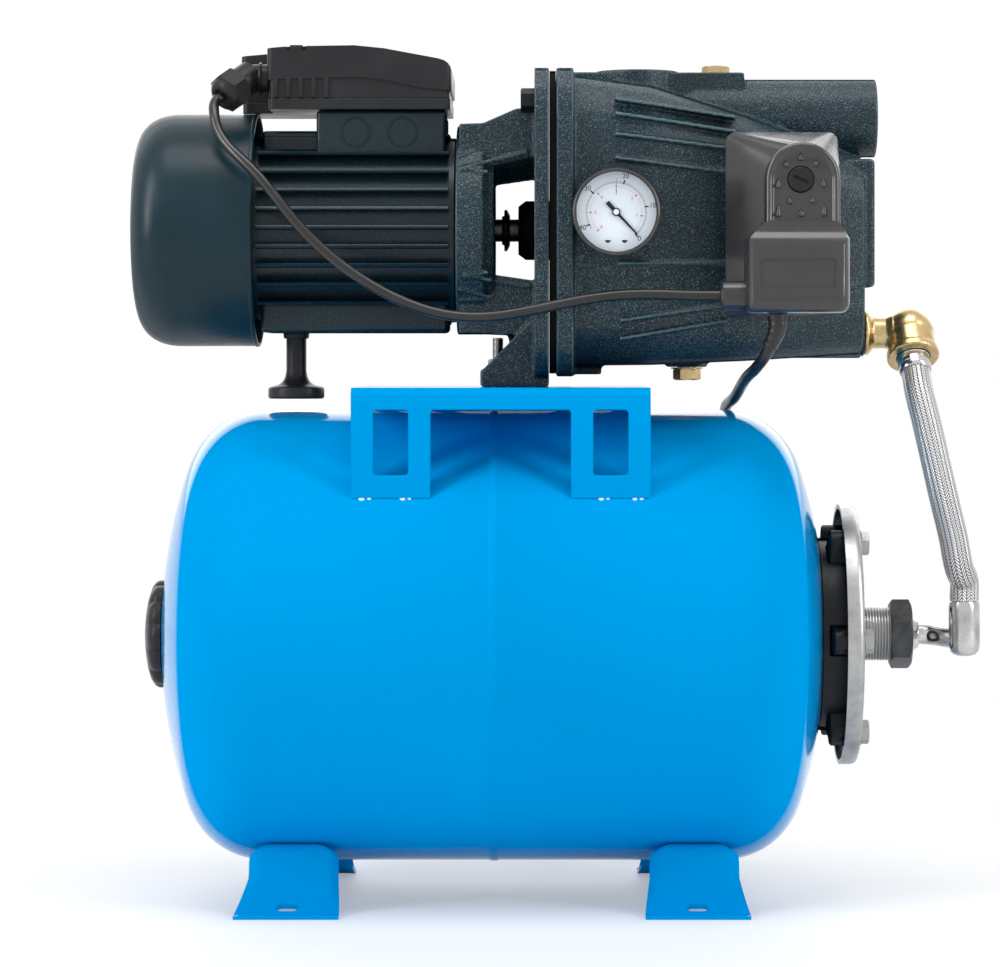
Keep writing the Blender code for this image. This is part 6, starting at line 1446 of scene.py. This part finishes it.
# Terminal box
def box_plan(inset):
    """Plan of the box with soft corners: its rear half reaches further left than its front half."""
    corner = 0.004
    left, right, half = -0.164, -0.051, 0.048 - inset
    rear = -0.183 + inset
    corners = [
        (left + inset, -half, 1), (right - inset, -half, 1), (right - inset, half, 1), (rear, half, 1),
        (rear, -0.006 + inset, 1), (left + inset, -0.006 + inset, 0)
    ]
    outline = []
    for index, (x, y, soft) in enumerate(corners):
        if not soft:
            outline.append((x, y))
            continue
        before, after = Vector(corners[index - 1][:2]), Vector(corners[(index + 1) % 6][:2])
        here = Vector((x, y))
        first = here + (before - here).normalized() * corner
        last = here + (after - here).normalized() * corner
        outline = curved([*outline, tuple(first)], (x, y), tuple(last), 4)
    return outline


def lid_side(inset, bottom):
    """Top edge of the lid, seen from the front."""
    left, right = -0.183 + inset, -0.051 - inset
    top = bottom + 0.0320 - inset
    crest = left + 0.55 * (right - left)
    points = [
        (left - 0.01, top - 0.0042), (left, top - 0.0035), (crest - 0.040, top - 0.0006), (crest, top),
        (crest + 0.018, top - 0.0018), (right - 0.008, top - 0.0080)
    ]
    return curved(points, (right, top - 0.0097), (right, top - 0.016), 4)


def terminal_box():
    seat = PUMP_Z + 0.0728
    base_top = seat + 0.0068
    base = prism(box_plan(0.0008), "Z", seat, base_top)
    base = carved(base, prism(box_plan(0.0033), "Z", seat + 0.0025, base_top + 0.01))
    finish_piece("box_base", base, BLACK_PLASTIC, "set", ["terminal_base"], 35, 0.0004)
    bottom = base_top + 0.0003
    wave = [
        (-0.041, bottom + 0.0030), (-0.071, bottom + 0.0060), (-0.092, bottom + 0.0105),
        (-0.106, bottom + 0.0122), (-0.132, bottom + 0.0118), (-0.193, bottom + 0.0095)
    ]
    above = [(-0.193, bottom + 0.05), (-0.041, bottom + 0.05)]
    lid = as_object(prism(box_plan(0), "Z", bottom + 0.0025, bottom + 0.05))
    sides = lid_side(0, bottom) + [(-0.051, bottom - 0.01), (-0.193, bottom - 0.01)]
    combine(lid, "INTERSECT", prism(wave + above, "Y", -0.1, 0.1), prism(sides, "Y", -0.1, 0.1))
    soften(lid, 0.0016, 4, 40)
    settle(lid)
    combine(lid, "UNION", prism(box_plan(0.0012), "Z", bottom, bottom + 0.016))
    room = [(max(x, -0.160), z) for x, z in lid_side(0.0025, bottom)]
    room += [(-0.055, bottom - 0.01), (-0.160, bottom - 0.01)]
    combine(lid, "DIFFERENCE", prism(room, "Y", -0.0443, 0.0443))
    for index in range(5):
        x = -0.160 + index * 0.0078
        combine(lid, "UNION", box((x, -0.0486, bottom), (x + 0.0026, -0.045, bottom + 0.0125), 0.0005))
    notch = box((-0.1520, -0.0500, bottom + 0.0288), (-0.1400, -0.0440, bottom + 0.0345), 0.0006)
    catch = box((-0.1500, -0.0470, bottom + 0.0240), (-0.1420, -0.0430, bottom + 0.0322), 0.0006)
    combine(lid, "DIFFERENCE", notch)
    combine(lid, "UNION", catch)
    finish_piece("box_lid", taken(lid), BLACK_PLASTIC, "set", ["terminal_lid"], 35)


def cable_gland():
    nut = hexagon(0.010, 0.0215, 0.022, GLAND_AXIS, chamfer=0.0010)
    body = turned(
        [(-0.002, 0), (-0.002, 0.0100), (0.0100, 0.0100), (0.0105, 0.0100), (0.0105, 0)], 64, GLAND_AXIS
    )
    cap = turned(
        [
            (0.0213, 0), (0.0213, 0.0105), (0.0235, 0.0098), (0.0250, 0.0082), (0.0255, 0.0066),
            (0.0252, 0.0050), (0.0235, 0.0039), (0.0235, 0)
        ],
        64, GLAND_AXIS
    )
    stub = rod(-0.1805, -0.1643, 0.0085, 48, location=(0, -0.029, 0.508))
    rings = turned(
        [(-0.1700, 0.0080), (-0.1700, 0.0094), (-0.1690, 0.0098), (-0.1680, 0.0094), (-0.1680, 0.0080)], 48,
        location=(0, -0.029, 0.508), ring=True
    )
    bm = together(moved(together(nut, body, cap), GLAND), stub, rings)
    finish_piece("gland_moulding", bm, BLACK_PLASTIC, "set", ["cable_gland"], 35)


# Gauge
def lettering(text, size, spot):
    """Plain digits as a thin mesh standing on the dial."""
    data = bpy.data.curves.new("digits", "FONT")
    data.body = text
    data.size = size
    data.align_x = "CENTER"
    data.align_y = "CENTER"
    data.extrude = 0.00006
    holder = placed("digits", data)
    bpy.context.view_layer.update()
    view = bpy.context.evaluated_depsgraph_get()
    mesh = bpy.data.meshes.new_from_object(holder.evaluated_get(view), depsgraph=view)
    bpy.data.objects.remove(holder, do_unlink=True)
    bm = bmesh.new()
    bm.from_mesh(mesh)
    spun(bm, 90)
    return moved(bm, spot)


BLACK_NUMBERS = (
    (-49, "0", 0.0212), (10, "10", 0.0222), (75, "20", 0.0222), (140.5, "30", 0.0222), (205, "40", 0.0222)
)
RED_NUMBERS = ((-8.5, "1"), (40, "2"), (90, "3"), (135, "4"), (181, "5"), (225, "6"))


def dial_tick(spot, surface, start, end, half, degrees):
    """A mark on the dial from one radius to another."""
    tick = box((start, surface - 0.0001, -half), (end, surface + 0.0001, half))
    return moved(spun(tick, -degrees, axis="Y"), spot)


def dial_number(spot, surface, text, size, reach, degrees):
    """Digits on the dial, centred at a radius."""
    angle = math.radians(degrees)
    return lettering(text, size, spot + Vector((reach * math.cos(angle), surface, reach * math.sin(angle))))


def gauge():
    radius, depth = 0.0265, 0.0260
    spot = Vector((0.0491, -0.1050 + depth, PUMP_Z + 0.0077))
    floor, inner = depth - 0.0092, radius - 0.0013
    case = [
        (-0.0100, 0), (-0.0100, 0.0065), (0, 0.0065), (0, radius - 0.004), (0.0010, radius - 0.0018),
        (0.0024, radius - 0.0012), (depth - 0.0060, radius - 0.0012), (depth - 0.0055, radius - 0.0002),
        (depth - 0.0050, radius), (depth - 0.0014, radius), (depth - 0.0004, radius - 0.0005),
        (depth, radius - 0.0013), (depth - 0.0002, radius - 0.0021), (depth - 0.0008, radius - 0.0026),
        (depth - 0.0018, radius - 0.0026), (depth - 0.0018, inner), (floor, inner), (floor, 0.0013),
        (floor - 0.006, 0.0013), (floor - 0.006, 0)
    ]
    finish_piece(
        "gauge_bezel", turned(case, 128, FRONT, spot), GLOSS_PLASTIC, "set", ["gauge_case"],
        35
    )
    face = turned(
        [
            (floor + 0.0003, 0.0014), (floor + 0.0003, inner - 0.0002), (floor + 0.0011, inner - 0.0002),
            (floor + 0.0011, 0.0014)
        ],
        96, FRONT, spot, ring=True
    )
    finish_piece("gauge_face", face, DIAL_WHITE, "set", ["gauge_dial"], 35)
    surface = -floor - 0.0011
    black = [dial_tick(spot, surface, 0.0172, 0.0185, 0.00010, -48 + 2.6 * index) for index in range(101)]
    for degrees, text, reach in BLACK_NUMBERS:
        black.append(dial_tick(spot, surface, 0.0172, 0.0198, 0.0004, degrees))
        black.append(dial_number(spot, surface, text, 0.0042, reach, degrees))
    for side in (-1, 1):
        half = [(0.0017 * math.cos(a), 0.0017 * math.sin(a)) for a in np.linspace(-math.pi, 0, 13)]
        disc = prism(half, "Y", surface - 0.0001, surface + 0.0001)
        black.append(moved(disc, spot + Vector((side * 0.0050, 0, -0.0168))))
    black.append(moved(box((-0.0001, surface - 0.0001, 0.0102), (0.0001, surface + 0.0001, 0.0200)), spot))
    red = [dial_tick(spot, surface, 0.0150, 0.0158, 0.00008, -48 + 5.1 * index) for index in range(55)]
    for degrees, text in RED_NUMBERS:
        red.append(dial_tick(spot, surface, 0.0146, 0.0163, 0.0003, degrees))
        red.append(dial_number(spot, surface, text, 0.0028, 0.0124, degrees))
    finish_piece("dial_marks", together(*black), DIAL_BLACK, "set")
    finish_piece("dial_inner_marks", together(*red), DIAL_RED, "set")
    glass = [
        (depth - 0.0037, 0), (depth - 0.0037, inner - 0.0003), (depth - 0.0019, inner - 0.0003),
        (depth - 0.0017, 0.012), (depth - 0.0016, 0)
    ]
    finish_piece(
        "gauge_window", turned(glass, 96, FRONT, spot), GLASS, "set", ["gauge_glass"], 35
    )
    top = floor + 0.0014
    hub = [
        (floor - 0.004, 0), (floor - 0.004, 0.0010), (top, 0.0010), (top, 0.0025), (top + 0.0014, 0.0025),
        (top + 0.0017, 0.0022), (top + 0.0017, 0)
    ]
    needle = turned(hub, 32, FRONT)
    outline = [(-0.0079, -0.0013), (-0.0026, -0.0012), (0.0030, -0.0008), (0.0184, -0.00045)]
    outline += [(a, -b) for a, b in reversed(outline)]
    pointer = spun(prism(outline, "Y", -top - 0.0011, -top - 0.0005), 46.8, axis="Y")
    finish_piece(
        "gauge_pointer", moved(together(needle, pointer), spot), BLACK_PLASTIC, "needle", ["gauge_needle"],
        35
    )
    button = turned(
        [(top + 0.0015, 0), (top + 0.0015, 0.0018), (top + 0.0019, 0.0016), (top + 0.0020, 0)], 32, FRONT,
        spot
    )
    finish_piece("pointer_button", button, DIAL_WHITE, "needle")


# Pressure switch
def cover_section(y, inset, corner):
    """Upright section of the switch's cover."""
    low, high = (0.1150 + inset, 0.3590 + inset), (0.1825 - inset, 0.4708 - inset)
    return [(x, y, z) for x, z in rounded(low, high, corner, 10)]


def arch(y, half, bottom, top, inset=0.0):
    """A doorway shape: straight sides under a half circle, with as many points as a cover section."""
    half, low, spring = half - inset, bottom + inset, top - half
    outline = []
    for start in (0, 92):
        for step in range(11):
            angle = math.radians(start + 88 * step / 10)
            outline.append((ARCH_X + half * math.cos(angle), y, spring + half * math.sin(angle)))
    for side, start in ((-1, 180), (1, 270)):
        for step in range(11):
            angle = math.radians(start + 9 * step)
            x = ARCH_X + side * (half - 0.002) + 0.002 * math.cos(angle)
            outline.append((x, y, low + 0.002 + 0.002 * math.sin(angle)))
    return outline


def block_outline(shrink):
    """The lower block of the cover from the front, with its two shoulders."""
    left, right, low = 0.1252 + shrink, 0.1870 - shrink, 0.3617 + shrink
    neck_left, neck_right = 0.1350 + shrink / 2, 0.1812 - shrink / 2
    outline = curved([(left, low + 0.004)], (left, low), (left + 0.004, low), 4)
    outline = curved([*outline, (right - 0.0065, low)], (right, low), (right, low + 0.0065), 6)
    return outline + [
        (right, 0.4058), (neck_right, 0.4145), (neck_right, 0.4200), (neck_left, 0.4200),
        (neck_left, 0.4140), (left, 0.4058)
    ]


def lower_block():
    side = curved([(-0.108, 0.3617), (-0.1240, 0.3617)], (-0.1318, 0.3617), (-0.1322, 0.3700), 6)
    side = curved([*side, (-0.1322, 0.3970)], (-0.1322, 0.4040), (-0.1285, 0.4080), 6)
    side = curved(side, (-0.1262, 0.4105), (-0.1258, 0.4157), 4) + [(-0.108, 0.4157)]
    block = as_object(prism(side, "X", 0.1200, 0.1900))
    front = (
        (-0.100, 0), (-0.1235, 0), (-0.1270, 0.0006), (-0.1295, 0.0018), (-0.1312, 0.0034),
        (-0.1322, 0.0056), (-0.1326, 0.0075)
    )
    outlines = [[(x, y, z) for x, z in block_outline(shrink)] for y, shrink in front]
    combine(block, "INTERSECT", lofted(outlines))
    return taken(block)


def teardrop(height):
    """A drop in relief: pointed above, round below."""
    profile = [
        (0, 0), (0.0003, 0.0010), (0.0008, 0.0015), (0.0015, 0.0018), (0.0024, 0.0016),
        (0.4 * height + 0.001, 0.0011), (height, 0)
    ]
    return turned(profile, 20, UP)


DROPS = (
    (0.0, 12.9, 5.6), (-8.7, 8.7, 5.2), (8.9, 9.3, 5.2), (-13.3, -2.9, 7.0), (13.3, -2.5, 6.4),
    (-6.6, -12.9, 5.2), (6.9, -12.5, 5.2), (-13.3, -19.1, 9.0), (13.7, -18.7, 9.0), (0.2, -20.3, 5.6)
)


def switch():
    body = [cover_section(y, 0, 0.006) for y in (-0.0795, -0.0860, -0.0915)]
    body += [arch(-0.1150, 0.0226, 0.3617, 0.4637), arch(-0.1200, 0.0222, 0.3617, 0.4633)]
    cover = as_object(lofted(body))
    bead = (
        (-0.1120, 0), (-0.1228, 0), (-0.1240, 0.0003), (-0.1249, 0.0010), (-0.1254, 0.0021),
        (-0.1255, 0.0030)
    )
    rim = [arch(y, 0.0222, 0.4000, 0.4633, inset) for y, inset in bead]
    combine(cover, "UNION", lofted(rim), lower_block())
    well = (
        (-0.1234, 0.0012), (-0.1239, 0.0003), (-0.1246, -0.0004), (-0.1252, -0.0013), (-0.1255, -0.0024),
        (-0.1400, -0.0200)
    )
    panel = as_object(lofted([arch(y, 0.0180, 0.4030, 0.4591, inset) for y, inset in well]))
    combine(panel, "INTERSECT", box((0.10, -0.15, 0.4165), (0.20, -0.10, 0.50)))
    combine(cover, "DIFFERENCE", taken(panel))
    entry = [(-0.0035, 0), (-0.0035, 0.0076), (-0.0022, 0.0088), (0.012, 0.0088), (0.012, 0)]
    combine(cover, "UNION", turned(entry, 48, location=(0.1150, -0.103, 0.3725)))
    hollow = [cover_section(y, 0.0025, 0.004) for y in (-0.0695, -0.0915)]
    hollow.append(arch(-0.1130, 0.0190, 0.3670, 0.4590))
    hole = rod(0.10, 0.135, 0.0081, 48, FRONT, AT_ADJUSTER)
    recess = prism(rounded((0.1334, 0.3765), (0.1783, 0.3938), 0.002, 5), "Y", -0.142, -0.1310)
    combine(cover, "DIFFERENCE", lofted(hollow), hole, recess)
    finish_piece(
        "switch_cover_moulding", taken(cover), GLOSS_PLASTIC, "set", ["switch_cover"], 30,
        0.0005, 3
    )
    drops = []
    for x, rise, height in DROPS:
        spot = (AT_ADJUSTER[0] + x * 0.001, -0.1236, AT_ADJUSTER[2] + rise * 0.001 - height * 0.0004)
        drops.append(moved(teardrop(height * 0.001), spot))
    finish_piece("switch_drops", together(*drops), GLOSS_PLASTIC, "set", sharp=60)
    front = 0.1256
    plug = turned(
        [
            (0.1105, 0), (0.1105, 0.0095), (0.1125, 0.0095), (0.1125, 0.0075), (front - 0.0006, 0.0075),
            (front, 0.0069), (front, 0)
        ],
        64, FRONT, AT_ADJUSTER
    )
    slot = box((-0.0048, -front - 0.005, -0.0009), (0.0048, -front + 0.0016, 0.0009))
    slot = moved(spun(slot, 25, axis="Y"), AT_ADJUSTER)
    finish_piece(
        "adjuster_plug", carved(plug, slot), BLACK_PLASTIC, "adjuster", ["switch_adjuster"],
        35
    )
    plate = lofted([cover_section(y, 0.0028, 0.004) for y in (-0.0825, -0.0795)])
    stub = rod(0.0580, 0.0795, 0.0060, 40, FRONT, AT_SWITCH)
    ring = rod(0.0680, 0.0805, 0.0240, 64, FRONT, AT_SWITCH, 0.0005)
    finish_piece(
        "switch_plate", carved(plate, joined=[ring, stub]), ZINC, "set", ["switch_base"], 35
    )


# Solids that stay as they are, with their finishes
def dress_solids():
    finishes = {
        "tank_membrane": RUBBER, "air_valve_body": BRASS, "air_valve_pin": CHROME, "impeller": BRASS,
        "diffuser": PALE_PLASTIC, "ejector_nozzle": BRASS, "ejector_venturi": PALE_PLASTIC,
        "shaft_seal": RUBBER, "stator": COPPER, "front_bearing": CHROME, "rear_bearing": CHROME,
        "rear_end_shield": MOTOR_PAINT, "cooling_fan": BLACK_PLASTIC, "run_capacitor": PALE_PLASTIC
    }
    for name, made in finishes.items():
        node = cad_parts[name]
        for index in range(len(node.data.materials)):
            node.data.materials[index] = made


# The whole scene
bpy.context.scene.view_settings.view_transform = "Standard"
set_camera()
set_world()
set_floor()
soft_box("left_panel", (-1.9, -1.1, 1.2), (0, 0, 0.25), 0.5, 1.8, 29)
soft_box("right_panel", (1.9, -1.1, 1.2), (0, 0, 0.25), 0.5, 1.8, 26)
soft_box("top_panel", (0, -0.5, 2.2), (0, 0, 0.3), 1.6, 0.9, 18)
soft_box("back_panel", (0, 2.6, 1.75), (0, 0, 0.5), 5.0, 2.3, 46)
link_cable()
mains_cord()
braided_hose()
pressure_tank()
tank_foot("left_foot", "tank_foot_left", TANK_MIDDLE - 0.1232, 0.0025)
tank_foot("right_foot", "tank_foot_right", TANK_MIDDLE + 0.1232, -0.0010)
cradle()
air_valve()
neck_ring()
counter_flange()
flange_bolts()
union()
elbow()
pump_housing()
pump_plugs()
seal_plate()
lantern_bracket()
foot_studs()
motor()
motor_foot()
shaft_and_flinger()
terminal_box()
cable_gland()
gauge()
switch()
dress_solids()
